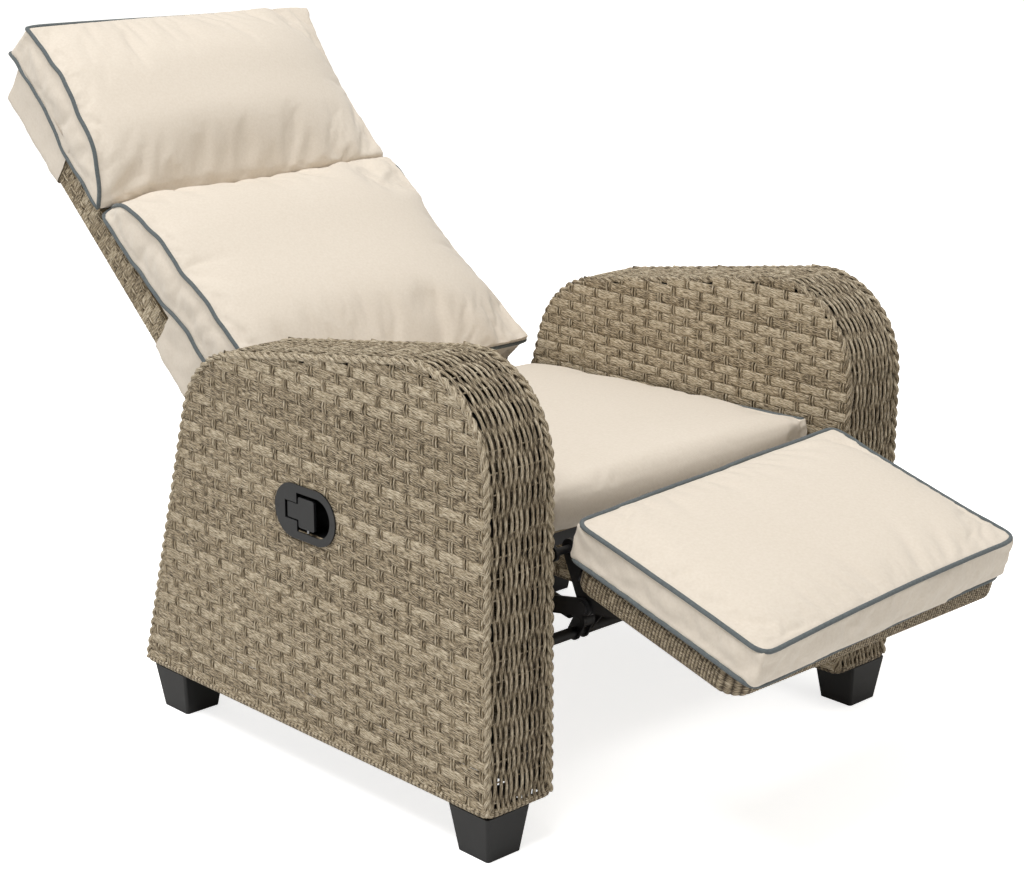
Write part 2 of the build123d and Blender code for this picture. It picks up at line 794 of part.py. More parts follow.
def back_frame():
    """The welded square tubes inside the back."""
    half = back_half_width - back_skin
    size = back_tube_size
    side_length = back_top_reach - back_skin + back_bottom_reach
    side_middle = (back_top_reach - back_skin - back_bottom_reach) / 2
    cross = 2 * (half - size)
    frame = None
    for side in (-1, 1):
        rail = Pos(side * (half - size / 2), side_middle, 0)
        piece = rail * square_tube(side_length, size, back_tube_wall)
        frame = piece if frame is None else frame + piece
    top = back_top_reach - back_skin - size / 2
    for reach in (back_cross_low, back_cross_mid, top):
        bar = Pos(0, reach, 0) * Rot(Z=90) * square_tube(cross, size, back_tube_wall)
        frame += bar
    frame -= rod_x(-back_half_width, back_half_width, 0, 0, back_pin_radius + running_gap)
    return back_place * frame


def back_front_panel():
    """The woven panel behind the cushions."""
    half = back_half_width - back_skin
    return back_place * span(-half, half, back_panel_start, back_top_reach - back_skin,
                             back_front_face - back_skin, back_front_face)


def back_weave():
    """The woven cover of the back's rear, sides and top."""
    half = back_half_width
    front, rear = back_front_face, back_rear_face
    cover = span(-half, half, -back_bottom_reach, back_top_reach, -rear, front)
    cover -= span(-half + back_skin, half - back_skin, -back_bottom_reach - overrun,
                  back_top_reach - back_skin, -rear + back_skin, front + overrun)
    cover -= span(-half + back_skin, half - back_skin, -back_bottom_reach - overrun,
                  back_panel_start, -rear - overrun, front + overrun)
    cover -= rod_x(-half - overrun, half + overrun, 0, 0, back_pin_radius + running_gap)
    return back_place * cover


def back_profile(x, start, end, low, high, bulge, bulge_share, rear):
    """One closed outline up a back cushion. Its rear lies on the back, its front is arched."""
    base = back_front_face + face_gap
    side = Polyline((x, end, base + high), (x, end, base + rear), (x, end - rear, base),
                    (x, start, base), (x, start, base + low))
    middle = start + (end - start) * bulge_share
    arch = ThreePointArc((x, start, base + low), (x, middle, base + bulge), (x, end, base + high))
    return make_face(side + arch)


def back_cushion_loft(start, end, low, high, bulge, bulge_share, rear):
    """A back cushion: full in the middle, thinner and drawn in towards its sides."""
    faces = []
    for share in (-1, -cushion_quarter_share, 0, cushion_quarter_share, 1):
        fall = back_cushion_side_drop * share * share
        x = back_cushion_half_width * share
        faces.append(back_profile(x, start, end, low - fall / 2, high - fall / 4, bulge - fall,
                                  bulge_share, rear))
    return back_place * loft(faces)


def back_lower_cushion():
    return back_cushion_loft(back_cushion_start, back_fold_reach - back_fold_gap,
                             back_cushion_edge, back_fold_height, back_cushion_bulge,
                             back_cushion_bulge_share, face_gap)


def back_pillow():
    return back_cushion_loft(back_fold_reach, pillow_top_reach, back_fold_height,
                             pillow_top_height, pillow_bulge, pillow_bulge_share,
                             pillow_rear_height)


def back_cloth(start, end, with_top):
    """Cloth that goes round the sides and the rear of the back, and over its top if it is the hood."""
    gap = face_gap
    half = back_half_width + gap
    rear = back_rear_face + gap
    cloth = span(-half - hood_thickness, half + hood_thickness, start,
                 end + (hood_thickness if with_top else 0), -rear - hood_thickness,
                 back_front_face - gap)
    inner_end = end if with_top else end + overrun
    return back_place * (cloth - span(-half, half, start - overrun, inner_end, -rear,
                                      back_front_face + overrun))


def back_hood():
    return back_cloth(back_top_reach - hood_length, back_top_reach + face_gap, True)


def back_sleeve():
    return back_cloth(sleeve_start, sleeve_end, False)


def back_lever():
    """The plate that turns with the back and pulls the long link through its slotted end."""
    turn = radians(back_recline)
    upper_y = back_pivot_y + lever_upper_reach * cos(turn)
    upper_z = back_pivot_z + lever_upper_reach * sin(turn)
    end = lever_pin_reach + lever_slot_travel()
    end_y = back_pivot_y + end * cos(lever_turn)
    end_z = back_pivot_z + end * sin(lever_turn)
    slot_radius = link_pin_radius + face_gap
    sketch = stadium(back_pivot_y, back_pivot_z, upper_y, upper_z, back_tube_size / 2)
    sketch += stadium(back_pivot_y, back_pivot_z, end_y, end_z, lever_half_width)
    sketch -= stadium(link_rear_y, link_rear_z, end_y, end_z, slot_radius)
    sketch -= Pos(back_pivot_y, back_pivot_z) * Circle(back_pin_radius + running_gap)
    sketch -= Pos(lever_cross_y, lever_cross_z) * Circle(lever_cross_radius + running_gap)
    return side_plate(sketch, link_plane, link_plane + plate_thickness)


def lever_cross_tube():
    """The tube that joins the two levers and takes the strut's push."""
    end = link_plane + plate_thickness
    return tube_x(-end, end, lever_cross_y, lever_cross_z, lever_cross_radius, lever_cross_wall)


# Gas strut


def along_strut(distance):
    """A place on the strut's axis, with +Y along it."""
    turn = radians(strut_slope)
    return Pos(0, strut_front_y + distance * cos(turn),
               strut_front_z + distance * sin(turn)) * Rot(X=strut_slope)


def strut_bar(start, end, radius):
    """A round bar on the strut's axis."""
    return along_strut((start + end) / 2) * Rot(X=90) * Cylinder(radius, end - start)


def strut_cylinder():
    body = strut_bar(strut_front_offset, strut_front_offset + strut_cylinder_length,
                     strut_cylinder_radius)
    hollow = strut_bar(strut_front_offset + strut_cylinder_radius,
                       strut_front_offset + strut_cylinder_length + overrun,
                       strut_rod_radius + running_gap)
    eye = rod_x(-strut_eye_half_width, strut_eye_half_width, strut_front_y, strut_front_z,
                strut_cylinder_radius)
    neck = strut_bar(0, strut_front_offset + running_gap, strut_rod_radius)
    bore = rod_x(-strut_eye_half_width - overrun, strut_eye_half_width + overrun, strut_front_y,
                 strut_front_z, strut_pin_radius + running_gap)
    return body - hollow + (eye + neck) - bore


def strut_rod():
    """The strut's rod. Its eye is slotted, because the lever's tube swings on a slight arc."""
    rod = strut_bar(strut_rod_start, strut_run - strut_eye_radius + overrun, strut_rod_radius)
    half_slot = lever_cross_radius + face_gap
    eye = Pos(0, -strut_sag / 2) * Rot(Z=90) * SlotOverall(
        2 * strut_eye_radius + strut_sag, 2 * strut_eye_radius)
    hole = Pos(0, -strut_sag / 2) * Rot(Z=90) * SlotOverall(2 * half_slot + strut_sag,
                                                            2 * half_slot)
    ring = extrude(Plane.YZ.offset(-strut_eye_half_width) * (eye - hole),
                   amount=2 * strut_eye_half_width)
    return rod + along_strut(strut_run) * ring


def strut_release_arm():
    """The small arm beside the strut's front eye that the handle's cable pulls."""
    start = strut_eye_half_width + strut_ear_gap * 2 + strut_ear_thickness
    end_y = strut_front_y
    end_z = strut_front_z + strut_arm_length
    sketch = stadium(strut_front_y, strut_front_z, end_y, end_z, strut_arm_half_width)
    sketch -= Pos(strut_front_y, strut_front_z) * Circle(strut_pin_radius + running_gap)
    sketch -= Pos(end_y, end_z) * Circle(strut_arm_bore)
    return side_plate(sketch, start, start + strut_arm_thickness)


# Pull handle, drawn at +X and then put in the right arm


def handle_slot(margin):
    """The handle's long round outline, moved in by margin, drawn in (y, z)."""
    slot = SlotOverall(handle_length - 2 * margin, handle_height - 2 * margin)
    return Pos(handle_y, handle_z) * slot


def handle_screw_places():
    reach = handle_length / 2 - handle_screw_edge
    return [handle_y - reach, handle_y + reach]


def handle_rectangle(front, rear, height):
    """A rectangle on the handle's middle line, from front to rear, drawn in (y, z)."""
    middle = Pos(handle_y + (front + rear) / 2, handle_z)
    return middle * Rectangle(rear - front, height)


def handle_window():
    """The opening in the handle's face: round in front, with a slot for the paddle's neck."""
    keep = handle_rectangle(-handle_length, handle_window_rear, handle_height)
    window = handle_slot(handle_rim) & keep
    neck_end = paddle_neck_end + paddle_neck_slack
    return window + handle_rectangle(paddle_neck_start - paddle_gap, neck_end,
                                     paddle_neck_height + 2 * paddle_gap)


def handle_housing():
    """The moulded cup that the fingers reach into, with the flange round it."""
    cup_inner = handle_face - handle_cup_depth
    housing = side_plate(handle_slot(0), handle_face, handle_front)
    housing += side_plate(handle_slot(handle_cup_margin), cup_inner, handle_face)
    hollow = handle_slot(handle_cup_margin + handle_cup_wall)
    housing -= side_plate(hollow, cup_inner + handle_cup_wall, handle_face)
    housing -= side_plate(handle_window(), handle_face - overrun, handle_front + overrun)
    pin_y = handle_y + paddle_pivot
    pin = Pos(paddle_axis, pin_y, handle_z) * Cylinder(paddle_pin_radius + running_gap,
                                                       2 * (paddle_pin_reach + face_gap))
    housing -= pin
    for y in handle_screw_places():
        housing -= rod_x(handle_face - overrun, handle_front + overrun, y, handle_z,
                         handle_screw_radius + running_gap)
        housing -= rod_x(handle_front - handle_screw_head, handle_front + overrun, y, handle_z,
                         handle_screw_head_radius + running_gap)
    gland_y = handle_y + handle_length / 2 - handle_cup_margin
    bore = Pos(handle_face - handle_cup_depth / 2, gland_y, handle_z - gland_drop) * Rot(X=90)
    return other_side(housing - bore * Cylinder(gland_bore, gland_length))


def handle_retainer():
    """The ring behind the woven panel that the housing is screwed to."""
    x1 = handle_face - arm_panel_thickness
    ring = handle_slot(handle_cup_margin - handle_retainer_width) - handle_slot(
        handle_cup_margin - face_gap)
    ring = side_plate(ring, x1 - handle_retainer_thickness, x1)
    for y in handle_screw_places():
        ring -= rod_x(x1 - arm_panel_thickness, x1 + overrun, y, handle_z,
                      handle_screw_radius + running_gap)
    return other_side(ring)


def handle_screws():
    screws = []
    inner = handle_face - arm_panel_thickness - handle_retainer_thickness
    for y in handle_screw_places():
        screw = rod_x(inner, handle_front - handle_screw_head, y, handle_z, handle_screw_radius)
        screw += rod_x(handle_front - handle_screw_head, handle_front, y, handle_z,
                       handle_screw_head_radius)
        screws.append(other_side(screw))
    return Compound(screws)


def handle_paddle():
    """The T-shaped pull: a wide head for the fingers and a neck with the hinge barrel."""
    length = paddle_head_rear - paddle_head_front
    middle = handle_y + (paddle_head_rear + paddle_head_front) / 2
    head = Pos(middle, handle_z) * RectangleRounded(length, paddle_head_height, paddle_round)
    neck = handle_rectangle(paddle_neck_start, paddle_neck_end, paddle_neck_height)
    plate = side_plate(head + neck, paddle_front - paddle_thickness, paddle_front)
    place = Pos(paddle_axis, handle_y + paddle_pivot, handle_z)
    barrel_height = paddle_neck_height - 2 * running_gap
    web = span(paddle_axis, paddle_front - paddle_thickness / 2,
               handle_y + paddle_pivot - paddle_barrel_radius,
               handle_y + paddle_pivot + paddle_barrel_radius / 2,
               handle_z - barrel_height / 2, handle_z + barrel_height / 2)
    paddle = plate + web + place * Cylinder(paddle_barrel_radius, barrel_height)
    paddle -= place * Cylinder(paddle_pin_radius + running_gap, handle_height)
    stud_place = Pos(paddle_front - paddle_thickness / 2, handle_y + paddle_stud_place,
                     handle_z - paddle_head_height / 2)
    return other_side(paddle - stud_place * Cylinder(paddle_stud_radius, 2 * paddle_stud_drop))


def paddle_stud():
    """The steel stud on the paddle's lower edge that the cable hooks on."""
    place = Pos(paddle_front - paddle_thickness / 2, handle_y + paddle_stud_place,
                handle_z - paddle_head_height / 2)
    return other_side(place * Cylinder(paddle_stud_radius, 2 * paddle_stud_drop))


def handle_pin():
    place = Pos(paddle_axis, handle_y + paddle_pivot, handle_z)
    return other_side(place * Cylinder(paddle_pin_radius, 2 * paddle_pin_reach))


def handle_spring():
    """The return spring round the pin, above the barrel, as its outer shape."""
    start = paddle_neck_height / 2 + face_gap
    place = Pos(paddle_axis, handle_y + paddle_pivot, handle_z + start + handle_spring_length / 2)
    coil = Cylinder(handle_spring_radius, handle_spring_length)
    coil -= Cylinder(paddle_pin_radius + running_gap, handle_spring_length + 2 * overrun)
    return other_side(place * coil)


def handle_gland():
    """The collar at the cup's rear that the cable would leave through."""
    start = handle_y + handle_length / 2 - handle_cup_margin
    place = Pos(handle_face - handle_cup_depth / 2, start + gland_length / 2,
                handle_z - gland_drop) * Rot(X=90)
    collar = place * Cylinder(gland_radius, gland_length)
    collar -= place * Cylinder(gland_bore, gland_length + 2 * overrun)
    cup = side_plate(handle_slot(handle_cup_margin), handle_face - handle_cup_depth, handle_face)
    return other_side(collar - cup)


def both(name, builder):
    """A piece made at +X, on the sitter's left, and its mirror image on the right."""
    left = builder()
    return {"left_" + name: left, "right_" + name: other_side(left)}


def build_nodes():
    nodes = {}
    nodes.update(both("arm_frame", arm_frame))
    nodes.update(both("arm_inner_panel", arm_inner_panel))
    nodes["left_arm_outer_panel"] = arm_outer_panel(False)
    nodes["right_arm_outer_panel"] = other_side(arm_outer_panel(True))
    nodes.update(both("arm_band", arm_band))
    nodes.update(both("arm_braids", arm_braids))
    nodes.update(both("front_foot", lambda: foot(foot_front_y)))
    nodes.update(both("rear_foot", lambda: foot(foot_rear_y)))
    nodes["foot_bolts"] = foot_bolts()
    nodes.update(both("seat_side_rail", seat_side_rail))
    nodes["seat_front_rail"] = seat_cross_rail(seat_front_rail_back)
    nodes["seat_rear_rail"] = seat_cross_rail(seat_rear_rail_back)
    nodes["seat_deck"] = seat_deck()
    nodes["seat_cushion"] = seat_cushion()
    nodes["front_stretcher"] = front_stretcher()
    nodes["rear_stretcher"] = stretcher(rear_stretcher_y, rear_stretcher_z)
    nodes["frame_bolts"] = frame_bolts()
    nodes.update(both("footrest_hinge_plate", footrest_hinge_plate))
    nodes.update(both("back_pivot_plate", back_pivot_plate))
    nodes["hinge_pins"] = hinge_pins()
    nodes["footrest_frame"] = footrest_frame()
    nodes["footrest_wrap"] = footrest_wrap()
    nodes["footrest_deck"] = footrest_deck()
    nodes["footrest_cushion"] = footrest_cushion()
    nodes.update(both("footrest_lug", footrest_lug))
    nodes["left_link"] = link(1)
    nodes["right_link"] = link(-1)
    nodes["left_link_pins"] = link_pins(1)
    nodes["right_link_pins"] = link_pins(-1)
    nodes["back_frame"] = back_frame()
    nodes["back_front_panel"] = back_front_panel()
    nodes["back_weave"] = back_weave()
    nodes["back_lower_cushion"] = back_lower_cushion()
    nodes["back_pillow"] = back_pillow()
    nodes["back_hood"] = back_hood()
    nodes["back_sleeve"] = back_sleeve()
    nodes.update(both("back_lever", back_lever))
    nodes["lever_cross_tube"] = lever_cross_tube()
    nodes["strut_cylinder"] = strut_cylinder()
    nodes["strut_rod"] = strut_rod()
    nodes["strut_release_arm"] = strut_release_arm()
    nodes["handle_housing"] = handle_housing()
    nodes["handle_retainer"] = handle_retainer()
    nodes["handle_screws"] = handle_screws()
    nodes["handle_paddle"] = handle_paddle()
    nodes["paddle_stud"] = paddle_stud()
    nodes["handle_pin"] = handle_pin()
    nodes["handle_spring"] = handle_spring()
    nodes["handle_gland"] = handle_gland()
    return nodes


def middle_y(nodes):
    """The middle of the whole chair from front to rear."""
    boxes = [shape.bounding_box() for shape in nodes.values()]
    return (min(box.min.Y for box in boxes) + max(box.max.Y for box in boxes)) / 2


def main():
    os.makedirs("parts", exist_ok=True)
    nodes = build_nodes()
    shift = middle_y(nodes)
    for name, shape in nodes.items():
        export_step(Pos(0, -shift, 0) * shape, "parts/" + name + ".step")
    print(len(nodes), "nodes, moved forward by", round(shift, 3))
    return shift


if __name__ == "__main__":
    main()
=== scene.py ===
import json
import math

import bpy
import numpy as np
from bpy.props import (FloatProperty, FloatVectorProperty, IntProperty, PointerProperty,
                       StringProperty)
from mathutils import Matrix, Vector, kdtree, noise


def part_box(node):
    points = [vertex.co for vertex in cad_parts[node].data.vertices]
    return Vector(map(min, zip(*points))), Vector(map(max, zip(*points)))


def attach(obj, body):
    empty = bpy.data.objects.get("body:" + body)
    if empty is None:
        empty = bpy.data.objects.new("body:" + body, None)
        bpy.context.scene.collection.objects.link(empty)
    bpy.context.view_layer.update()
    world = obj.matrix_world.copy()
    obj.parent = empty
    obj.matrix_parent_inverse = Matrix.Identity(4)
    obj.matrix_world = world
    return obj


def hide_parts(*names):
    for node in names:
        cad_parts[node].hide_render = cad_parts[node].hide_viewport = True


bl_info = {
    "name": "Reclining Garden Armchair",
    "version": (1, 0, 0),
    "blender": (4, 5, 0),
    "location": "View3D > Sidebar > Armchair",
    "description": "Dresses a reclining woven armchair: canes, cushions, piping and metalwork",
    "category": "Object",
}

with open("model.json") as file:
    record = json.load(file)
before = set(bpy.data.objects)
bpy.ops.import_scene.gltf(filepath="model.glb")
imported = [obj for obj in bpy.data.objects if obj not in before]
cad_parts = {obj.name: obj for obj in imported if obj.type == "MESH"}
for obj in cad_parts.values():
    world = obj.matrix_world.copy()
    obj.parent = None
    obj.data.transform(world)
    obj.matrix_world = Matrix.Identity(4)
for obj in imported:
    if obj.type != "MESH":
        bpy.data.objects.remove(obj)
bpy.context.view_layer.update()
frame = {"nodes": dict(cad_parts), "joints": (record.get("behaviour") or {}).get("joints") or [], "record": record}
BAND_LOW, BAND_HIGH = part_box("left_arm_band")
PANEL_LOW, PANEL_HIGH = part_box("left_arm_outer_panel")
INNER_LOW, INNER_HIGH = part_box("left_arm_inner_panel")
MM = 0.001
TURN = 2 * math.pi
TINY = 1e-12            # keeps a division off zero
SIDES = (("left", 1.0), ("right", -1.0))
BEND_POINTS = 17        # points round each bend
ROUND_SIDES = 8         # sides of a round cane, cord or piping
STAKE_SIDES = 6         # sides of a thin stake
RIM_SIDES = 10          # sides of a wound rim
LINE_STEP = 0.01        # points along outlines and seams
MARK_SHIFT = 3          # random shift of the streaks from one cane to the next


# Small tools: arrays of points, in metres, in the chair's own frame


def unit(vectors):
    """The same vectors, each of length one."""
    vectors = np.asarray(vectors, float)
    return vectors / np.maximum(np.linalg.norm(vectors, axis=-1, keepdims=True), TINY)


def distances(points):
    """How far each point lies along the line through them."""
    return np.concatenate([[0], np.cumsum(np.linalg.norm(np.diff(points, axis=0), axis=1))])


def even(points, step, closed=False):
    """Points spaced evenly along a line through the given ones."""
    points = np.asarray(points, float)
    if closed:
        points = np.vstack([points, points[:1]])
    reach = distances(points)
    count = max(int(round(reach[-1] / step)), 3)
    places = np.linspace(0, reach[-1], count + 1)
    if closed:
        places = places[:-1]
    return np.stack([np.interp(places, reach, values) for values in points.T], axis=1)


def rounded(corners, radii, closed=False):
    """A flat line through corners, with each bend rounded to its radius."""
    corners = [np.asarray(c, float) for c in corners]
    count = len(corners)
    line = [] if closed else [corners[0]]
    inner = range(count) if closed else range(1, count - 1)
    for place, radius in zip(inner, radii):
        corner = corners[place]
        towards = unit(corners[place - 1] - corner)
        onward = unit(corners[(place + 1) % count] - corner)
        half = math.acos(float(np.clip(towards @ onward, -1, 1))) / 2
        centre = corner + unit(towards + onward) * radius / math.sin(half)
        start = corner + towards * radius / math.tan(half) - centre
        end = corner + onward * radius / math.tan(half) - centre
        for share in np.linspace(0, 1, BEND_POINTS):
            line.append(centre + unit(start * (1 - share) + end * share) * radius)
    if not closed:
        line.append(corners[-1])
    return np.array(line)


def run_of(line):
    """How far each of a line's evenly spaced points lies along it."""
    return np.arange(len(line)) * np.linalg.norm(line[1] - line[0])


def upright(x, line):
    """Points (y, z) given one x."""
    return np.stack([np.full(len(line), float(x)), line[:, 0], line[:, 1]], axis=1)


def at_height(line, z):
    """Points (x, y) given one z."""
    return np.stack([line[:, 0], line[:, 1], np.full(len(line), float(z))], axis=1)


def tangents(path, closed=False):
    """The direction of a line at each of its points."""
    if closed:
        return unit(np.roll(path, -1, axis=0) - np.roll(path, 1, axis=0))
    return unit(np.gradient(path, axis=0))


def carried(path, start_up, closed=False):
    """Two unit vectors across a line at each point, carried along it without twist."""
    along = tangents(path, closed)
    ups = np.zeros_like(path)
    up = np.asarray(start_up, float)
    for place, direction in enumerate(along):
        up = unit(up - direction * (up @ direction))
        ups[place] = up
    return np.cross(along, ups), ups


def round_profile(radius, sides):
    """A round section."""
    turn = np.arange(sides) * TURN / sides
    return np.stack([np.cos(turn), np.sin(turn)], axis=1) * radius


def strip_profile(width, thickness):
    """The section of a flat strip with thin edges."""
    half, rise = width / 2, thickness / 2
    flat = half * 0.7
    return np.array([(half, 0), (flat, rise), (-flat, rise), (-half, 0), (-flat, -rise),
                     (flat, -rise)])


def rounded_profile(width, height, radius):
    """The section of a bar with rounded corners."""
    half, rise = width / 2, height / 2
    corners = [(half, -rise), (half, rise), (-half, rise), (-half, -rise)]
    step = radius / 2.2
    return even(rounded(corners, [radius] * 4, closed=True), step, closed=True)


def linked(name, data):
    """A new object in the scene."""
    item = bpy.data.objects.new(name, data)
    bpy.context.scene.collection.objects.link(item)
    return item


def meshed(name, points, faces):
    """A new object made of points and faces."""
    mesh = bpy.data.meshes.new(name)
    mesh.from_pydata(points.tolist(), [], faces)
    mesh.validate()
    return linked(name, mesh)


def settings(group):
    """One of the groups of settings that the scene holds."""
    return getattr(bpy.context.scene, "armchair_" + group)


class Bundle:
    """Collects bars and strips, and makes them into one mesh with lengths as its UVs."""

    def __init__(self, seed):
        self.chance = np.random.default_rng(seed)
        self.points, self.quads, self.caps, self.marks, self.tones = [], [], [], [], []
        self.total = 0

    def add(self, path, across, out, profile, closed=False, swell=None, shade=0.0):
        """One bar along a path, its profile set across and out, grown by swell and darkened
        by shade where they are given."""
        path = np.asarray(path, float)
        across = np.broadcast_to(np.asarray(across, float), path.shape)
        out = np.broadcast_to(np.asarray(out, float), path.shape)
        sections = np.broadcast_to(profile, (len(path),) + profile.shape).copy()
        if swell is not None:
            sections += unit(profile)[None] * np.asarray(swell)[:, None, None]
        rings = (path[:, None] + across[:, None] * sections[:, :, :1]
                 + out[:, None] * sections[:, :, 1:])
        count, sides = rings.shape[:2]
        rows = np.arange(count if closed else count - 1)[:, None]
        columns = np.arange(sides)
        after, turn = (rows + 1) % count * sides, (columns + 1) % sides
        quads = np.stack([rows * sides + columns, after + columns, after + turn,
                          rows * sides + turn], axis=-1)
        self.quads.append(quads.reshape(-1, 4) + self.total)
        run = distances(np.vstack([path, path[:1]]))
        girth = distances(np.vstack([profile, profile[:1]]))
        shift = self.chance.uniform(0, MARK_SHIFT)
        u0, u1, v0, v1 = np.broadcast_arrays(run[rows], run[rows + 1], girth[columns],
                                             girth[columns + 1])
        marks = np.stack([u0, v0, u1, v0, u1, v1, u0, v1], axis=-1)
        self.marks.append(marks.reshape(-1, 2) + shift)
        if not closed:
            self.caps.append(list(range(self.total, self.total + sides)))
            last = self.total + (count - 1) * sides
            self.caps.append(list(range(last + sides - 1, last - 1, -1)))
        self.points.append(rings.reshape(-1, 3))
        # Each bar's random tone, less the painted shade where it runs deep in the weave
        tone = self.chance.uniform(0, 1) - np.broadcast_to(shade, count)
        self.tones.append(np.repeat(tone, sides))
        self.total += count * sides

    def piece(self, name):
        """One object made of all that was added."""
        quads = np.vstack(self.quads)
        mesh = bpy.data.meshes.new(name)
        mesh.from_pydata(np.vstack(self.points).tolist(), [], quads.tolist() + self.caps)
        marks = np.vstack(self.marks)
        capped = np.zeros((sum(len(cap) for cap in self.caps), 2))
        mesh.uv_layers.new(name="UVMap").data.foreach_set("uv", np.vstack([marks, capped]).ravel())
        tone = mesh.attributes.new("tone", "FLOAT", "POINT")
        tone.data.foreach_set("value", np.concatenate(self.tones).astype(np.float32))
        mesh.shade_smooth()
        mesh.validate()
        return linked(name, mesh)


def finish_piece(item, body, slot, material, *nodes):
    """Gives a piece its material and ties it to its body and to the nodes that it stands for."""
    item.data.materials.clear()
    item.data.materials.append(material)
    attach(item, body)
    if nodes:
        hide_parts(*nodes)
    return item


def finish_weave(bundle, name, body, look, *nodes):
    """Makes a bundle of canes or strips into one piece."""
    return finish_piece(bundle.piece(name), body, "resin_weave", materials()[look], *nodes)


# Materials


def linear(code):
    """A colour written as sRGB hex, turned to linear values by the sRGB curve."""
    values = [int(code[i:i + 2], 16) / 255 for i in (1, 3, 5)]
    return tuple(v / 12.92 if v <= 0.04045 else ((v + 0.055) / 1.055) ** 2.4
                 for v in values) + (1.0,)


def add_node(tree, kind, links=None, **settings):
    """Adds a shader node, sets its options and socket values, and links its inputs."""
    node = tree.nodes.new(kind)
    for name, value in settings.items():
        if name in node.bl_rna.properties:
            setattr(node, name, value)
        else:
            node.inputs[name.replace("_", " ")].default_value = value
    for name, source in (links or {}).items():
        tree.links.new(source, node.inputs[name])
    return node


def ramp(tree, source, stops):
    """A colour ramp: stops are (place, sRGB hex)."""
    node = add_node(tree, "ShaderNodeValToRGB", {"Fac": source})
    bar = node.color_ramp.elements
    while len(bar) < len(stops):
        bar.new(0.5)
    for element, (place, code) in zip(bar, stops):
        element.position = place
        element.color = linear(code)
    return node.outputs["Color"]


def spread(tree, source, **ends):
    """A value moved from one range to another."""
    return add_node(tree, "ShaderNodeMapRange", {"Value": source}, **ends).outputs["Result"]


def reckon(tree, kind, operation, *values):
    """Reckons with sockets and plain values, by a math or a vector math node."""
    node = add_node(tree, kind, operation=operation)
    for place, value in enumerate(values):
        if isinstance(value, bpy.types.NodeSocket):
            tree.links.new(value, node.inputs[place])
        else:
            node.inputs[place].default_value = value
    return node.outputs[0]


def noise_of(tree, place, **values):
    """A noise texture's value."""
    return add_node(tree, "ShaderNodeTexNoise", {"Vector": place}, **values).outputs["Fac"]


def start_material(name):
    """An empty node material with a principled shader."""
    material = bpy.data.materials.new(name)
    material.use_nodes = True
    tree = material.node_tree
    tree.nodes.clear()
    output = tree.nodes.new("ShaderNodeOutputMaterial")
    shader = tree.nodes.new("ShaderNodeBsdfPrincipled")
    tree.links.new(shader.outputs["BSDF"], output.inputs["Surface"])
    return material, tree, shader


def surface(tree, shader, colour, height, strength, depth, **values):
    """Gives a shader its colour and a bump, and its other values or their sources."""
    bump = add_node(tree, "ShaderNodeBump", {"Height": height}, Strength=strength,
                    Distance=depth)
    values.update(Base_Color=colour, Normal=bump.outputs["Normal"])
    for name, value in values.items():
        target = shader.inputs[name.replace("_", " ")]
        if isinstance(value, bpy.types.NodeSocket):
            tree.links.new(value, target)
        else:
            target.default_value = value


def fibre_resin(name, dark, middle, light, streak_mm):
    """Extruded polyethylene fibre, drawn through a rough die: matt, with bark-like streaks
    along it. Each strip's or cane's random tone and its painted shade come with its mesh."""
    material, tree, shader = start_material(name)
    marks = add_node(tree, "ShaderNodeTexCoord").outputs["UV"]
    across = 1 / (streak_mm * MM)
    along = across / 9
    slanted = add_node(tree, "ShaderNodeVectorRotate", {"Vector": marks}, rotation_type="Z_AXIS",
                       Angle=0.13).outputs[0]
    drawn = reckon(tree, "ShaderNodeVectorMath", "MULTIPLY", slanted, (along, across, 1))
    streaks = noise_of(tree, drawn, Scale=1.0, Detail=6.0, Roughness=0.68)
    # Random tone per strip or cane, less painted shade where it lies deep in the weave
    tone = add_node(tree, "ShaderNodeAttribute", attribute_name="tone").outputs["Fac"]
    tone_and_shade_share = 0.07
    toned_and_shaded = reckon(tree, "ShaderNodeMath", "MULTIPLY_ADD", tone, tone_and_shade_share, streaks)
    share = spread(tree, toned_and_shaded, From_Min=0.44, From_Max=0.66)
    colour = ramp(tree, share, [(0.0, dark), (0.45, middle), (1.0, light)])
    surface(tree, shader, colour, streaks, strength=0.9, depth=0.0018,
            Roughness=spread(tree, streaks, To_Min=0.42, To_Max=0.78), IOR=1.5,
            Specular_IOR_Level=0.38)
    return material


def outdoor_cloth(name, dark, light, thread_mm, bump_mm, sheen):
    """Solution-dyed polyester, plain woven: matt, with a soft sheen at grazing angles.
    The thread is drawn at about three times its real 0.6 mm, so that it shows."""
    material, tree, shader = start_material(name)
    place = add_node(tree, "ShaderNodeTexCoord").outputs["Object"]
    waves_per_scale = 20 / TURN
    scale = 1 / (thread_mm * MM) / waves_per_scale
    waves = [add_node(tree, "ShaderNodeTexWave", {"Vector": place}, wave_type="BANDS",
                      bands_direction=direction, Scale=scale, Distortion=0.6,
                      Detail=1.0).outputs["Fac"] for direction in ("X", "DIAGONAL")]
    weave = reckon(tree, "ShaderNodeMath", "MULTIPLY", *waves)
    slub = noise_of(tree, place, Scale=260.0, Detail=4.0)
    patches = noise_of(tree, place, Scale=7.0, Detail=3.0)
    height = reckon(tree, "ShaderNodeMath", "ADD", weave, slub)
    patch_share = 0.25
    tint = reckon(tree, "ShaderNodeMath", "MULTIPLY_ADD", patches, patch_share, slub)
    colour = ramp(tree, spread(tree, tint, From_Min=0.1, From_Max=1.15),
                  [(0.0, dark), (1.0, light)])
    surface(tree, shader, colour, height, strength=0.2, depth=bump_mm * MM, Roughness=0.86,
            Specular_IOR_Level=0.25, Sheen_Weight=sheen, Sheen_Roughness=0.55)
    return material


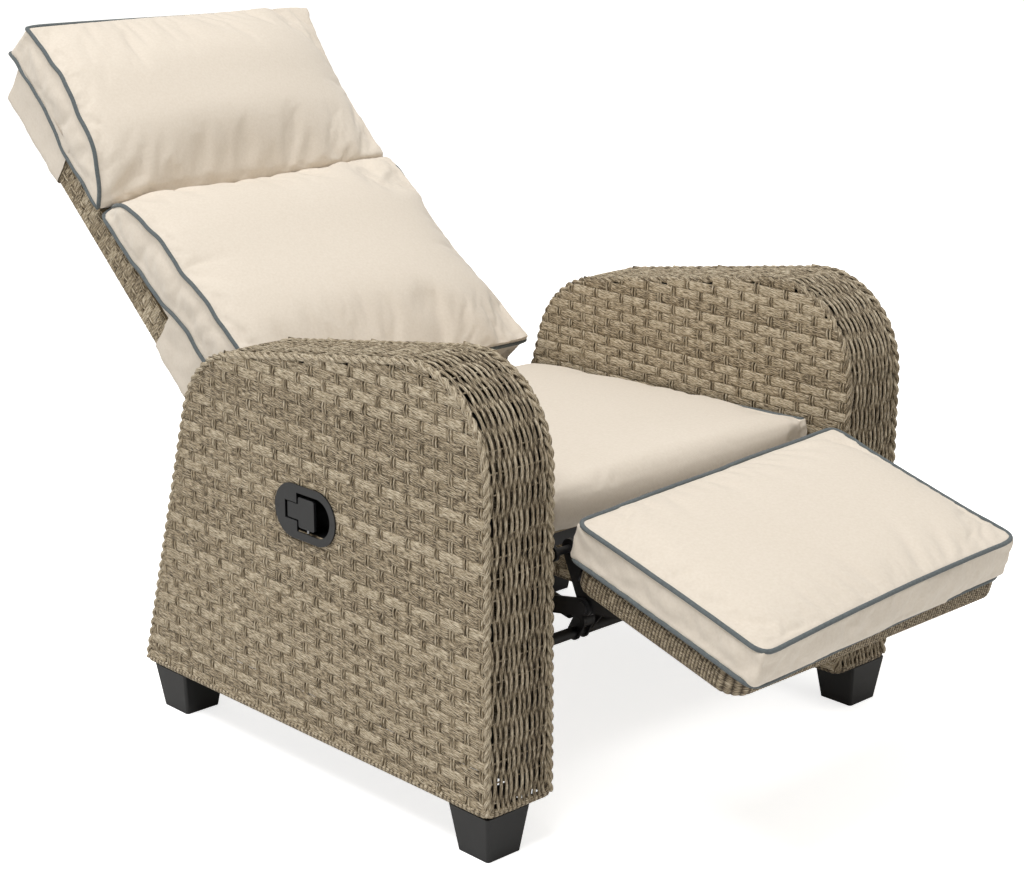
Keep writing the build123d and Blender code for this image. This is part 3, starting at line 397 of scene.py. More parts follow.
def grained(name, dark, light, grain_mm, bump_mm, roughness, metallic, scuffs):
    """A moulded, coated or plated surface with a fine grain and a few paler scuffs."""
    material, tree, shader = start_material(name)
    place = add_node(tree, "ShaderNodeTexCoord").outputs["Object"]
    grain = noise_of(tree, place, Scale=1 / (grain_mm * MM), Detail=3.0)
    wear = noise_of(tree, place, Scale=38.0, Detail=5.0, Roughness=0.7)
    colour = ramp(tree, spread(tree, wear, From_Min=0.5, From_Max=0.5 + scuffs),
                  [(0.0, dark), (1.0, light)])
    smoother, rougher = 0.08, 0.14
    surface(tree, shader, colour, grain, strength=0.3, depth=bump_mm * MM, Metallic=metallic,
            Roughness=spread(tree, wear, To_Min=roughness - smoother,
                             To_Max=roughness + rougher))
    return material


def materials():
    """The chair's finishes, made once."""
    looks = settings("looks")
    cane_streak = looks.streak_width * 0.8
    cloth = {"thread_mm": 2.0, "bump_mm": 0.35, "sheen": 0.25}
    tape = {"thread_mm": 1.6, "bump_mm": 0.3, "sheen": 0.15}
    coated = {"grain_mm": 0.9, "bump_mm": 0.06, "roughness": 0.42, "metallic": 0.0,
              "scuffs": 0.35}
    plated = {"grain_mm": 0.5, "bump_mm": 0.03, "roughness": 0.34, "metallic": 1.0,
              "scuffs": 0.3}
    moulded = {"grain_mm": 0.8, "bump_mm": 0.08, "roughness": 0.5, "metallic": 0.0,
               "scuffs": 0.4}
    nylon = {"grain_mm": 0.7, "bump_mm": 0.05, "roughness": 0.38, "metallic": 0.0,
             "scuffs": 0.4}
    recipes = {
        "fibre resin strip": (fibre_resin, (looks.strip_dark, looks.strip_middle,
                                            looks.strip_light, looks.streak_width), {}),
        "fibre resin cane": (fibre_resin, (looks.strip_dark, looks.cane_middle,
                                           looks.strip_light, cane_streak), {}),
        "woven outdoor polyester": (outdoor_cloth, (looks.cloth_dark, looks.cloth_light), cloth),
        "woven piping tape": (outdoor_cloth, (looks.piping_dark, looks.piping_light), tape),
        "powder coated steel": (grained, (looks.steel_dark, looks.steel_light), coated),
        "zinc plated steel": (grained, ("#8d8f92", "#b9bbbe"), plated),
        "moulded polypropylene": (grained, (looks.foot_dark, looks.foot_light), moulded),
        "moulded nylon": (grained, ("#17181a", "#2a2b2e"), nylon),
    }
    found = {m.name: m for m in bpy.data.materials}
    for name, (recipe, colours, values) in recipes.items():
        if name not in found:
            found[name] = recipe(name, *colours, **values)
    return found


# Woven arms


def arm_corners(inset, bottom):
    """The arm's side outline, moved in by inset, from front bottom over the top to the rear."""
    sizes = settings("arms")
    fall, lean = math.tan(sizes.top_slope), math.tan(sizes.rear_lean)
    front = BAND_LOW.y + inset
    top_start = sizes.front_height - inset / math.cos(sizes.top_slope)
    rear_at_bottom = (sizes.depth - inset / math.cos(sizes.rear_lean)
                      - (bottom - BAND_LOW.z) * lean)
    rear = (rear_at_bottom - (top_start - bottom) * lean) / (1 - fall * lean)
    return [(front, bottom), (front, top_start - inset * fall),
            (BAND_LOW.y + rear, top_start - rear * fall), (BAND_LOW.y + rear_at_bottom, bottom)]


def arm_line(inset, step):
    """Points (y, z) up the arm's front, over its top and down its rear, with outward normals."""
    sizes = settings("arms")
    corners = arm_corners(inset, BAND_LOW.z + sizes.rim_radius)
    line = even(rounded(corners, [sizes.front_radius - inset, sizes.rear_radius - inset]), step)
    along = tangents(line)
    return line, np.stack([-along[:, 1], along[:, 0]], axis=1)


def limits(outline, axis, value):
    """Where a straight line across a convex outline enters and leaves it."""
    after = np.roll(outline, -1, axis=0)
    low, high = outline[:, axis] - value, after[:, axis] - value
    cut = (low * high) < 0
    share = low[cut] / (low[cut] - high[cut])
    other = 1 - axis
    hits = outline[cut, other] + (after[cut, other] - outline[cut, other]) * share
    return (hits.min(), hits.max()) if len(hits) > 1 else None


def handle_gap(value, axis, margin):
    """The stretch of a strip that the pull handle's housing takes out of it."""
    low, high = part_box("handle_housing")
    middle = (low + high) / 2
    half_long, half_tall = (high.y - low.y) / 2 - margin, (high.z - low.z) / 2 - margin
    straight = half_long - half_tall
    if axis == 1:
        off, straight_part, centre = abs(value - middle.z), straight, middle.y
    else:
        off, straight_part, centre = max(abs(value - middle.y) - straight, 0), 0, middle.z
    if off >= half_tall:
        return None
    reach = straight_part + math.sqrt(half_tall ** 2 - off ** 2)
    return centre - reach, centre + reach


def pieces_between(ends, gap):
    """The stretches that are left of a strip when a gap is taken out of it."""
    if gap is None:
        return [ends]
    return [(ends[0], gap[0]), (gap[1], ends[1])]


FIRST_STAKE, FIRST_ROW = 0.3, 0.5       # shares of a pitch
ROW_POINTS, WAVE_POINTS, TWIST_POINTS, WINDING_POINTS = 5, 12, 10, 8    # points per repeat
NEAR_STAKES = np.array([-0.5, -0.3, -0.2, -0.12, -0.05, 0.05, 0.12, 0.2, 0.3])
STRIP_WOBBLE, STRIP_SWING = 0.03, 40    # unevenness of the wide strips
STAKE_WOBBLE, STAKE_SWING = 0.0004, 60  # unevenness of the thin stakes


def weave_flat(strips, canes, outline, place, up, sizes, gap_of=None, extra=(), seed=7):
    """A plain weave over an outline: wide strips one way over pairs of thin stakes the other way.
    place turns (u, v) and a height over the surface into points and outward directions."""
    chance = np.random.default_rng(seed)
    low, high = outline.min(axis=0), outline.max(axis=0)
    row_pitch, stake_pitch = sizes.row_pitch, sizes.stake_pitch
    strip = strip_profile(row_pitch * sizes.row_cover, sizes.strip_thickness)
    cane = round_profile(sizes.stake_radius, STAKE_SIDES)
    rows = int((high[1] - low[1]) / row_pitch) + 1
    stakes = int((high[0] - low[0]) / stake_pitch) + 1
    u_start, v_start = low[0] + stake_pitch * FIRST_STAKE, low[1] + row_pitch * FIRST_ROW
    near = NEAR_STAKES * stake_pitch
    knots = (u_start + np.arange(-1, stakes + 1)[:, None] * stake_pitch + near).ravel()
    knots = np.union1d(knots, extra)
    for row in range(rows):
        v = v_start + row * row_pitch
        ends = limits(outline, 1, v)
        if ends is None or ends[1] - ends[0] < stake_pitch:
            continue
        wobble = chance.uniform(-1, 1, 2) * row_pitch * STRIP_WOBBLE
        for start, end in pieces_between(ends, gap_of(v, 1) if gap_of else None):
            if end - start < row_pitch:
                continue
            u = np.concatenate([[start], knots[(knots > start) & (knots < end)], [end]])
            away = np.abs(((u - u_start) / stake_pitch + row) % 2 - 1) * stake_pitch
            dip = np.exp(-(away / sizes.dip_width) ** 4)
            line = v + wobble[0] + wobble[1] * np.sin(u * STRIP_SWING + row)
            points, out = place(u, line, sizes.weave_rise * (1 - 2 * dip))
            # The strip is drawn darker where it dips under a stake: painted shade
            strips.add(points, up, out, strip, shade=sizes.dip_shade * dip)
    for stake in range(stakes):
        middle = u_start + stake * stake_pitch
        for offset in (-sizes.stake_split, sizes.stake_split):
            u = middle + offset
            ends = limits(outline, 0, u)
            if ends is None or ends[1] - ends[0] < row_pitch * 2:
                continue
            for start, end in pieces_between(ends, gap_of(u, 0) if gap_of else None):
                if end - start < row_pitch:
                    continue
                points = max(int((end - start) / (row_pitch / ROW_POINTS)), 4)
                v = np.linspace(start, end, points)
                height = -sizes.stake_rise * np.cos(math.pi * ((v - v_start) / row_pitch + stake))
                line = (u + chance.uniform(-1, 1) * STAKE_WOBBLE
                        + STAKE_WOBBLE * np.sin(v * STAKE_SWING + stake))
                points, out = place(line, v, height)
                canes.add(points, np.cross(up, out), out, cane)


def finish_both(strips, canes, name, body, node):
    """The strips and the stakes of a plain weave, each as one piece."""
    finish_weave(strips, name + "_weave", body, "fibre resin strip", node)
    finish_weave(canes, name + "_stakes", body, "fibre resin strip")


def arm_panel(side, sign, outside):
    """One woven side of an arm. The right arm's outer side leaves room for the pull handle."""
    sizes = settings("arms")
    line, _ = arm_line(sizes.panel_inset, LINE_STEP)
    low, high = (PANEL_LOW, PANEL_HIGH) if outside else (INNER_LOW, INNER_HIGH)
    middle = (low.x + high.x) / 2 * sign
    facing = sign if outside else -sign

    def place(u, v, height):
        u, v, x = np.broadcast_arrays(u, v, middle + facing * height)
        return np.stack([x, u, v], axis=1), np.array([facing, 0.0, 0.0])

    def gap_of(value, axis):
        return handle_gap(value, axis, sizes.handle_lap)

    seed = 11 + int(outside) + int(sign)
    strips, canes = Bundle(seed), Bundle(seed + 10)
    has_handle = outside and side == "right"
    weave_flat(strips, canes, line, place, np.array([0, 0, 1.0]), sizes,
               gap_of if has_handle else None)
    name = f"{side}_arm_outer" if outside else f"{side}_arm_inner"
    finish_both(strips, canes, name, "base", name + "_panel")


def arm_band(side, sign):
    """The canes that run up the front of an arm, over its top and down its rear."""
    sizes = settings("arms")
    count = sizes.band_canes
    width = BAND_HIGH.x - BAND_LOW.x
    radius = width / count / 2 * sizes.cane_share
    line, normal = arm_line(radius + sizes.cane_rise, sizes.cane_wave / WAVE_POINTS)
    run = run_of(line)
    middle = (BAND_LOW.x + BAND_HIGH.x) / 2 * sign
    out, path = upright(0, normal), upright(0, line)
    bundle = Bundle(seed=31 + int(sign))
    chance = np.random.default_rng(33 + int(sign))
    uneven, sway_shift = 0.3, 2.4
    for cane in range(count):
        share = (cane + 0.5) / count * 2 - 1
        turn = TURN * (run / sizes.cane_wave + cane / 2) + chance.uniform(-1, 1) * uneven
        height = sizes.cane_rise * np.cos(turn) - sizes.band_crown * share ** 4
        points = path + out * height[:, None]
        sway = sizes.cane_sway * np.sin(turn / 2 + cane * sway_shift)
        points[:, 0] = middle + share * width / 2 + sway
        across, ups = carried(points, out[0])
        # Painted shade: a cane is drawn darker where it goes under its neighbours
        depth = ((1 - np.cos(turn)) / 2) ** 3
        bundle.add(points, across, ups, round_profile(radius, ROUND_SIDES),
                   shade=sizes.cane_shade * depth)
    stake_radius = sizes.cane_rise / 2
    for place in np.arange(0.5, run[-1] / sizes.stake_pitch) * sizes.stake_pitch:
        centre = [np.interp(place, run, (path - out * stake_radius)[:, i]) for i in range(3)]
        x = np.linspace(-width / 2, width / 2, 3)
        stake = np.tile(centre, (len(x), 1))
        stake[:, 0] = middle + x
        bundle.add(stake, (0, 1, 0), (0, 0, 1), round_profile(stake_radius, STAKE_SIDES))
    finish_weave(bundle, f"{side}_arm_band_weave", "base", "fibre resin cane",
                 f"{side}_arm_band")


def arm_borders(side, sign):
    """The twisted border cords between the strip and the side panels of an arm."""
    sizes = settings("arms")
    low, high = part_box(f"{side}_arm_braids")
    middle = (low.x + high.x) / 2
    reach = sizes.braid_radius
    line, normal = arm_line(reach, sizes.braid_pitch / TWIST_POINTS)
    out = upright(0, normal)
    across = np.array([1.0, 0, 0])
    strand = reach / 2
    lap = 1.12
    bundle = Bundle(seed=51 + int(sign))
    for edge in (-1, 1):
        path = upright(middle + edge * ((high.x - low.x) / 2 - reach), line)
        for half in (0, math.pi):
            turn = run_of(line) / sizes.braid_pitch * TURN * edge + half
            points = (path + across * np.cos(turn)[:, None] * strand
                      + out * np.sin(turn)[:, None] * strand)
            side_way, ups = carried(points, out[0])
            bundle.add(points, side_way, ups, round_profile(strand * lap, ROUND_SIDES))
    finish_weave(bundle, f"{side}_arm_border_cords", "base", "fibre resin cane",
                 f"{side}_arm_braids")


def wound_bar(bundle, path, out, profile, pitch, depth):
    """A closed bar wound tightly with cane across its length; the grooves between the canes get painted shade."""
    path = even(path, pitch / WINDING_POINTS, True)
    along = tangents(path, True)
    out = np.broadcast_to(np.asarray(out, float), path.shape)
    fall = 1 - np.sqrt(np.abs(np.sin(math.pi * run_of(path) / pitch)))
    # Painted shade in the grooves between the wound canes
    painted_groove_shade = 2.6
    bundle.add(path, np.cross(along, out), out, profile, closed=True, swell=-depth * fall,
               shade=painted_groove_shade * fall)


def arm_rims(side, sign):
    """The cane-wound rim round the bottom of an arm."""
    sizes = settings("arms")
    reach = sizes.rim_radius
    bottom = BAND_LOW.z + reach
    corners = arm_corners(reach, bottom)
    y0, y1 = corners[0][0], corners[3][0]
    low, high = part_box(f"{side}_arm_braids")
    x0, x1 = low.x + reach, high.x - reach
    line = rounded([(x0, y0), (x1, y0), (x1, y1), (x0, y1)], [reach * 2] * 4, closed=True)
    bundle = Bundle(seed=71 + int(sign))
    wound_bar(bundle, at_height(line, bottom), (0, 0, 1.0), round_profile(reach, RIM_SIDES),
              sizes.winding_pitch, sizes.winding_depth)
    finish_weave(bundle, f"{side}_arm_bottom_rim", "base", "fibre resin cane")


# Places of the tilted groups


def tilted(points, origin, turn):
    """Points of a tilted group, turned about X and moved to the chair's frame."""
    points = np.asarray(points, float)
    c, s = math.cos(turn), math.sin(turn)
    y = points[..., 1] * c - points[..., 2] * s
    z = points[..., 1] * s + points[..., 2] * c
    return np.stack([points[..., 0], y + origin[0], z + origin[1]], axis=-1)


def joint_place(name):
    """The (y, z) of a joint."""
    joint = next(j for j in frame["joints"] if j["name"] == name)
    return joint["pos_m"][1], joint["pos_m"][2]


def back_points(points):
    """Points of the back: x, reach up from the pivot, height over its middle plane."""
    return tilted(points, joint_place("backrest_recline"), settings("back").recline)


def footrest_points(points):
    """Points of the footrest: x, place behind the hinge, height over its frame."""
    return tilted(points, joint_place("footrest_fold"), settings("footrest").tilt)


def turned(points_of, vector):
    """A direction of a tilted group, turned to the chair's frame."""
    return points_of(np.asarray(vector, float)) - points_of(np.zeros(3))


def seat_points(points):
    """Points of the seat: x, place behind its front, height over the pad's underside."""
    seat = settings("seat")
    return tilted(points, (BAND_LOW.y + seat.front_set_back, seat.plane_height), -seat.tilt)


# Woven back and footrest


def back_weave():
    """The plain weave that wraps the sides and the rear of the back."""
    arms, back = settings("arms"), settings("back")
    half, top, bottom = back.half_width, back.top_reach, -back.bottom_reach
    front, rear = back.half_thickness, -back.half_thickness - back.rear_depth
    inset = arms.weave_rise + arms.strip_thickness
    edge = rounded([(-half + inset, front), (-half + inset, rear + inset),
                    (half - inset, rear + inset), (half - inset, front)],
                   [back.section_round] * 2)
    reach = distances(edge)
    along = tangents(edge)
    side, total = front - rear, reach[-1]
    outline = np.array([(0, bottom), (total, bottom), (total, top), (0, top)])

    def place(u, v, height):
        u, v, height = np.broadcast_arrays(u, v, height)
        x, t, dx, dt = [np.interp(u, reach, values)
                        for values in (edge[:, 0], edge[:, 1], along[:, 0], along[:, 1])]
        out = unit(np.stack([dt, np.zeros(len(u)), -dx], axis=1))
        points = np.stack([x, v, t], axis=1) + out * height[:, None]
        return back_points(points), turned(back_points, out)

    def gap_of(value, axis):
        if axis == 1:
            return (side, total - side) if value < back.panel_start else None
        return (bottom, back.panel_start) if side < value < total - side else None

    strips, canes = Bundle(seed=91), Bundle(seed=92)
    weave_flat(strips, canes, outline, place, turned(back_points, (0, 1, 0)), arms, gap_of,
               reach[1:-1], seed=9)
    finish_both(strips, canes, "back_frame", "backrest", "back_weave")


def footrest_winding():
    """The cane wound round the footrest's tube."""
    rest = settings("footrest")
    tube = rest.frame_height / 2
    half = rest.half_width - tube
    front, rear = tube - rest.front_reach, -rest.rear_reach - tube
    line = rounded([(half, rear), (half, front), (-half, front), (-half, rear)],
                   [rest.corner_radius - tube] * 4, closed=True)
    bundle = Bundle(seed=101)
    profile = rounded_profile(rest.frame_height, rest.frame_height, rest.wrap_round)
    wound_bar(bundle, footrest_points(at_height(line, -tube)), turned(footrest_points, (0, 0, 1)),
              profile, rest.winding_pitch, rest.winding_depth)
    finish_weave(bundle, "footrest_cane_winding", "footrest", "fibre resin cane",
                 "footrest_wrap")


# Cushions

PAD_ROWS, PAD_COLUMNS = 28, 29      # points along and across a boxed pad
PAD_LIFT = 0.002                    # a boxed pad's underside over its bed
PAD_WAVE = 0.003                    # how far its sides are drawn in
PAD_CORNER = 0.012                  # bend of its piping at a corner
BACK_ROWS, BACK_COLUMNS = 40, 41    # points up and across a back cushion
BACK_LIFT = 0.001                   # a back cushion's underside over the frame
TUCK_START = 0.93                   # share of a back cushion where its corner's tuck starts
NEAR_ROUNDS, FAR_ROUNDS = 2, 14     # how often its near line and its other lines are smoothed
WANDER = ((0.0022, 63, 1.1), (0.0014, 139, 0.4))    # sewn edge: size, waves, shift
FOLDS = ((0.0026, 24.0, 4.0), (0.0014, 66.0, 9.0))  # cloth: size, scale, offset
CLOTH = {"quality": 4, "mass": 0.3, "use_pressure": True, "tension_stiffness": 12,
         "compression_stiffness": 12, "bending_stiffness": 0.35}


def closed_loft(name, sections):
    """A closed mesh through closed sections, with its two ends filled."""
    sections = np.asarray(sections, float)
    count, sides = sections.shape[:2]
    points = sections.reshape(-1, 3)
    faces = []
    for row in range(count - 1):
        for column in range(sides):
            other = (column + 1) % sides
            faces.append((row * sides + column, row * sides + other,
                          (row + 1) * sides + other, (row + 1) * sides + column))
    ends = np.array([sections[0].mean(axis=0), sections[-1].mean(axis=0)])
    first, last = len(points), len(points) + 1
    for column in range(sides):
        other = (column + 1) % sides
        faces.append((first, other, column))
        faces.append((last, (count - 1) * sides + column, (count - 1) * sides + other))
    return meshed(name, np.vstack([points, ends]), faces)


def baked(item, *modifiers):
    """Applies modifiers, given as (kind, settings), to an object's mesh."""
    for kind, settings in modifiers:
        modifier = item.modifiers.new(kind.lower(), kind)
        for name, value in settings.items():
            setattr(modifier, name, value)
    bpy.context.view_layer.update()
    graph = bpy.context.evaluated_depsgraph_get()
    mesh = bpy.data.meshes.new_from_object(item.evaluated_get(graph))
    item.modifiers.clear()
    item.data = mesh
    return item


def corners_of(mesh):
    """The places of a mesh's points."""
    points = np.zeros(len(mesh.vertices) * 3)
    mesh.vertices.foreach_get("co", points)
    return points.reshape(-1, 3)


def plump(item, seams):
    """Swells a closed pad by a short cloth simulation. Its seams are held, so that the cloth
    gathers beside them, and no point moves further than the cap."""
    cushion = settings("cushions")
    baked(item, ("REMESH", {"mode": "VOXEL", "voxel_size": cushion.voxel}))
    before = corners_of(item.data)
    tree = kdtree.KDTree(len(seams))
    for place, point in enumerate(seams):
        tree.insert(point, place)
    tree.balance()
    hold = item.vertex_groups.new(name="seams")
    for place, point in enumerate(before):
        distance = tree.find(point)[2]
        share = 1 - min(max((distance - cushion.seam_hold) / cushion.seam_hold, 0), 1)
        if share > 0:
            hold.add([place], share, "REPLACE")
    scene = bpy.context.scene
    cloth = item.modifiers.new("cloth", "CLOTH")
    for name, value in CLOTH.items():
        setattr(cloth.settings, name, value)
    cloth.settings.uniform_pressure_force = cushion.pressure
    cloth.settings.effector_weights.gravity = 0.0
    cloth.settings.shrink_min = -cushion.slack
    cloth.settings.vertex_group_mass = "seams"
    cloth.collision_settings.use_collision = False
    cloth.point_cache.frame_start = 1
    cloth.point_cache.frame_end = cushion.steps
    for step in range(1, cushion.steps + 1):
        scene.frame_set(step)
    graph = bpy.context.evaluated_depsgraph_get()
    after = corners_of(item.evaluated_get(graph).data)
    item.modifiers.clear()
    scene.frame_set(1)
    move = after - before
    length = np.linalg.norm(move, axis=1, keepdims=True)
    move *= cushion.cap * np.tanh(length / cushion.cap) / np.maximum(length, TINY)
    item.data.vertices.foreach_set("co", (before + move).ravel())
    item.vertex_groups.clear()
    baked(item, ("SMOOTH", {"factor": 0.5, "iterations": 1}),
          ("SUBSURF", {"levels": 1, "render_levels": 1}))
    item.data.shade_smooth()
    return item


def nearest_on(item, points, lift):
    """Points moved onto a mesh's surface, and then out of it by lift."""
    moved = []
    for point in points:
        _, spot, normal, _ = item.closest_point_on_mesh(Vector(point))
        moved.append(np.array(spot + normal * lift))
    return np.array(moved)


def blended(line):
    """Each inner point of a line moved towards its two neighbours."""
    return (line[:-2] + 2 * line[1:-1] + line[2:]) / 4


def piping(name, item, routes, body):
    """Piped seams: cords that follow the pad's surface along the given routes."""
    radius = settings("cushions").piping_radius
    sunk, step, rounds = radius * 0.45, 0.006, 3
    start_up = (0.3, 0.2, 0.9)
    bundle = Bundle(seed=131)
    for route, closed in routes:
        line = even(nearest_on(item, even(route, 2 * step, closed), sunk), step, closed)
        for _ in range(rounds):
            if closed:
                line = blended(np.vstack([line[-1:], line, line[:1]]))
            else:
                line[1:-1] = blended(line)
        across, ups = carried(line, start_up, closed)
        bundle.add(line, across, ups, round_profile(radius, ROUND_SIDES), closed=closed)
    finish_piece(bundle.piece(name), body, "cushion_cloth", materials()["woven piping tape"])


def finish_pad(item, body, node, routes, piped):
    """Swells a pad, ties it to its node, and pipes the seams that show their piping."""
    plump(item, np.vstack(routes))
    finish_piece(item, body, "cushion_cloth", materials()["woven outdoor polyester"], node)
    piping(item.name + "_piping", item, piped, body)


def ripple(points, size, scale, offset):
    """Small smooth unevenness, the same each time."""
    shift = Vector((offset, offset, offset))
    return np.array([noise.noise(Vector(p) * scale + shift) for p in points]) * size


def boxed_pad(name, half, y0, y1, edge, crown, place):
    """A boxed pad: its top crowned, its sides drawn in between the corners."""
    x = np.linspace(-1, 1, PAD_COLUMNS)
    sections = []
    for v in np.linspace(0, 1, PAD_ROWS):
        y = y0 + (y1 - y0) * v
        rise = 1 - (2 * v - 1) ** 2
        across = x * (half - PAD_WAVE * rise)
        top = PAD_LIFT + edge + crown * rise ** 0.6 * (1 - x ** 4)
        sections.append([(a, y, t) for a, t in zip(across, top)]
                        + [(a, y, PAD_LIFT) for a in across[::-1]])
    return closed_loft(name, place(np.array(sections)))


def rim_route(half, y0, y1, z, place, sag=0.0):
    """A closed route round a pad's edge at one height, drawn in between its corners."""
    flat = even(rounded([(-half, y0), (half, y0), (half, y1), (-half, y1)], [PAD_CORNER] * 4,
                        closed=True), LINE_STEP, closed=True)
    middle, depth = (y0 + y1) / 2, abs(y1 - y0) / 2
    x_share, y_share = flat[:, 0] / half, (flat[:, 1] - middle) / depth
    x = flat[:, 0] - np.sign(x_share) * PAD_WAVE * (1 - y_share ** 2)
    at_end = np.abs(y_share) > 0.9
    y = flat[:, 1] - np.sign(y_share) * PAD_WAVE * (1 - x_share ** 2) * at_end
    return place(np.stack([x, y, np.full(len(x), z) + sag * (1 - x_share ** 2)], axis=1))


def seat_cushion():
    """The seat pad: cloth wrapped over its front, thin piping along its sides."""
    seat = settings("seat")
    half, edge = seat.half_width, seat.pad_edge
    low_seam, seam_start, count = 0.006, 0.012, 60
    item = boxed_pad("seat_pad", half, PAD_LIFT, seat.length, edge, seat.crown, seat_points)
    y = np.linspace(seam_start, seat.length - seam_start, count)
    seams = [seat_points(np.stack([np.full(count, sign * half), y, np.full(count, z)], axis=1))
             for sign in (-1, 1) for z in (low_seam, edge)]
    piped = [(seam, False) for seam in seams[1::2]]
    finish_pad(item, "base", "seat_cushion", seams, piped)


def footrest_pad_points(points):
    """Places on the footrest's pad, which lies a little askew on its frame."""
    rest = settings("footrest")
    points = np.array(points, float)
    share = (points[..., 0] / rest.pad_half_width + 1) / 2
    points[..., 2] += rest.pad_rise * share * np.clip(points[..., 2] / rest.pad_edge, 0, 1)
    points[..., 1] += rest.pad_skew * share
    points[..., 0] -= rest.pad_draw * share
    return footrest_points(points)


def footrest_cushion():
    """The footrest's pad, piped round its top and its bottom."""
    rest = settings("footrest")
    half, edge = rest.pad_half_width, rest.pad_edge
    y0, y1 = -rest.pad_front, -rest.pad_rear
    low_seam, set_back, sag_share = 0.003, 0.004, 0.3
    item = boxed_pad("footrest_pad", half, y0, y1, edge, rest.crown, footrest_pad_points)
    top = rim_route(half, y0, y1, edge, footrest_pad_points, rest.crown * sag_share)
    low = rim_route(half, y0 + set_back, y1, low_seam, footrest_pad_points)
    finish_pad(item, "footrest", "footrest_cushion", [top, low],
               [(top, True), (low, True)])


def smoothed(values, rounds):
    """Values with their kinks smoothed out and their ends kept."""
    values = np.array(values, float)
    for _ in range(rounds):
        values[1:-1] = blended(values)
    return values


def wander(reach):
    """The unevenness of a sewn edge along a back cushion."""
    return sum(size * np.sin(reach * waves + shift) for size, waves, shift in WANDER)


def back_pad(name, shape, crown, node, piped_ends, closed_end):
    """A back cushion from its piped side lines: each gives (reach, height) in mm. The near,
    middle and far lines lie on its front, and the rear line on both of its sides."""
    back = settings("back")
    near, middle, far, rear = [np.array(shape[key]) * MM for key in
                               ("near", "middle", "far", "rear")]
    half, base = back.pad_half_width, back.half_thickness + BACK_LIFT
    bulge = 0.002
    near_power, far_power, crown_power, edge_slope = 8, 2.4, 2.6, 25

    def sides(share):
        """The x of the near side's front, of its rear, and of the far side."""
        full = 1 - (2 * share - 1) ** 4
        tuck = np.clip((share - TUCK_START) / (1 - TUCK_START), 0, 1) * back.pad_tuck
        rear_x = -half + bulge * full
        return rear_x + tuck * closed_end, rear_x, half - back.far_draw * (1 + full)

    stations = np.linspace(0, 1, BACK_ROWS)
    fronts = middle[0, 0] + (middle[-1, 0] - middle[0, 0]) * stations
    rears = rear[0, 0] + (rear[-1, 0] - rear[0, 0]) * stations
    near_high, high, far_high = [
        smoothed(np.interp(fronts, line[:, 0], line[:, 1]), rounds)
        for line, rounds in ((near, NEAR_ROUNDS), (middle, FAR_ROUNDS), (far, FAR_ROUNDS))]
    near_high += wander(fronts)
    lows = np.interp(rears, rear[:, 0], rear[:, 1]) + wander(rears)
    a = np.linspace(-1, 1, BACK_COLUMNS)
    across = (a + 1) / 2
    sections = []
    for row, share in enumerate(stations):
        front_x, rear_x, far_x = sides(share)
        top = (high[row] + (near_high[row] - high[row]) * np.clip(-a, 0, 1) ** near_power
               + (far_high[row] - high[row]) * np.clip(a, 0, 1) ** far_power
               + crown * MM * (1 - (2 * share - 1) ** 4) * (1 - np.abs(a) ** crown_power))
        under = lows[row] + (base - lows[row]) * np.clip((1 - np.abs(a)) * edge_slope, 0, 1)
        x_front = front_x + (far_x - front_x) * across
        x_rear = rear_x + (far_x - rear_x) * across
        sections.append([(x, fronts[row], t) for x, t in zip(x_front, top)]
                        + [(x, rears[row], t) for x, t in zip(x_rear[::-1], under[::-1])])
    item = closed_loft(name, back_points(np.array(sections)))

    def side_line(line, column):
        """One of the pad's side seams."""
        line = even(line, LINE_STEP)
        line[:, 1] += wander(line[:, 0])
        share = (line[:, 0] - line[0, 0]) / (line[-1, 0] - line[0, 0])
        return back_points(np.stack([sides(share)[column], line[:, 0], line[:, 1]], axis=1))

    def across_end(first, last, count):
        """A straight seam from one side seam's end to another's."""
        return first + (last - first) * np.linspace(0, 1, count)[:, None]

    far[:, 1] -= back.far_fall
    seams = [side_line(near, 0), side_line(rear, 1), side_line(far, 2), side_line(rear, 2)]
    routes = [(seam, False) for seam in seams]
    for place, piped in zip((0, -1), piped_ends):
        for left, right in ((0, 2), (1, 3)):
            seams.append(across_end(seams[left][place], seams[right][place], count=50))
            if piped:
                routes.append((seams[-1], False))
    if closed_end:
        routes.append((across_end(seams[0][-1], seams[1][-1], count=8), False))
    finish_pad(item, "backrest", node, seams, routes)


LOWER_PAD = {
    "near": [(40, 100), (70, 124), (112, 129), (178, 126), (235, 116), (279, 110), (333, 106),
             (380, 92), (415, 76), (436, 50), (450, 26)],
    "middle": [(40, 100), (70, 124), (112, 129), (178, 126), (235, 116), (279, 110), (333, 106),
               (380, 92), (421, 78), (450, 60)],
    "far": [(40, 100), (70, 102), (112, 96), (160, 90), (190, 86), (220, 83), (250, 80),
            (280, 78), (310, 77), (333, 78), (380, 80), (421, 74), (450, 58)],
    "rear": [(48, 30), (90, 48), (147, 55), (194, 54), (245, 44), (294, 32), (344, 30),
             (389, 24), (449, 20)],
}
PILLOW_PAD = {
    "near": [(452, 26), (462, 44), (474, 58), (503, 76), (527, 94), (571, 98), (612, 105),
             (641, 112), (689, 104), (745, 100)],
    "middle": [(452, 60), (468, 63), (503, 76), (527, 94), (571, 98), (612, 105), (641, 112),
               (689, 104), (745, 100)],
    "far": [(452, 58), (468, 62), (503, 66), (527, 66), (571, 66), (612, 70), (641, 76),
            (689, 86), (745, 96)],
    "rear": [(452, 22), (530, 20), (573, 22), (655, 41), (718, 33), (732, 41), (756, 36)],
}


# Cloth over the back


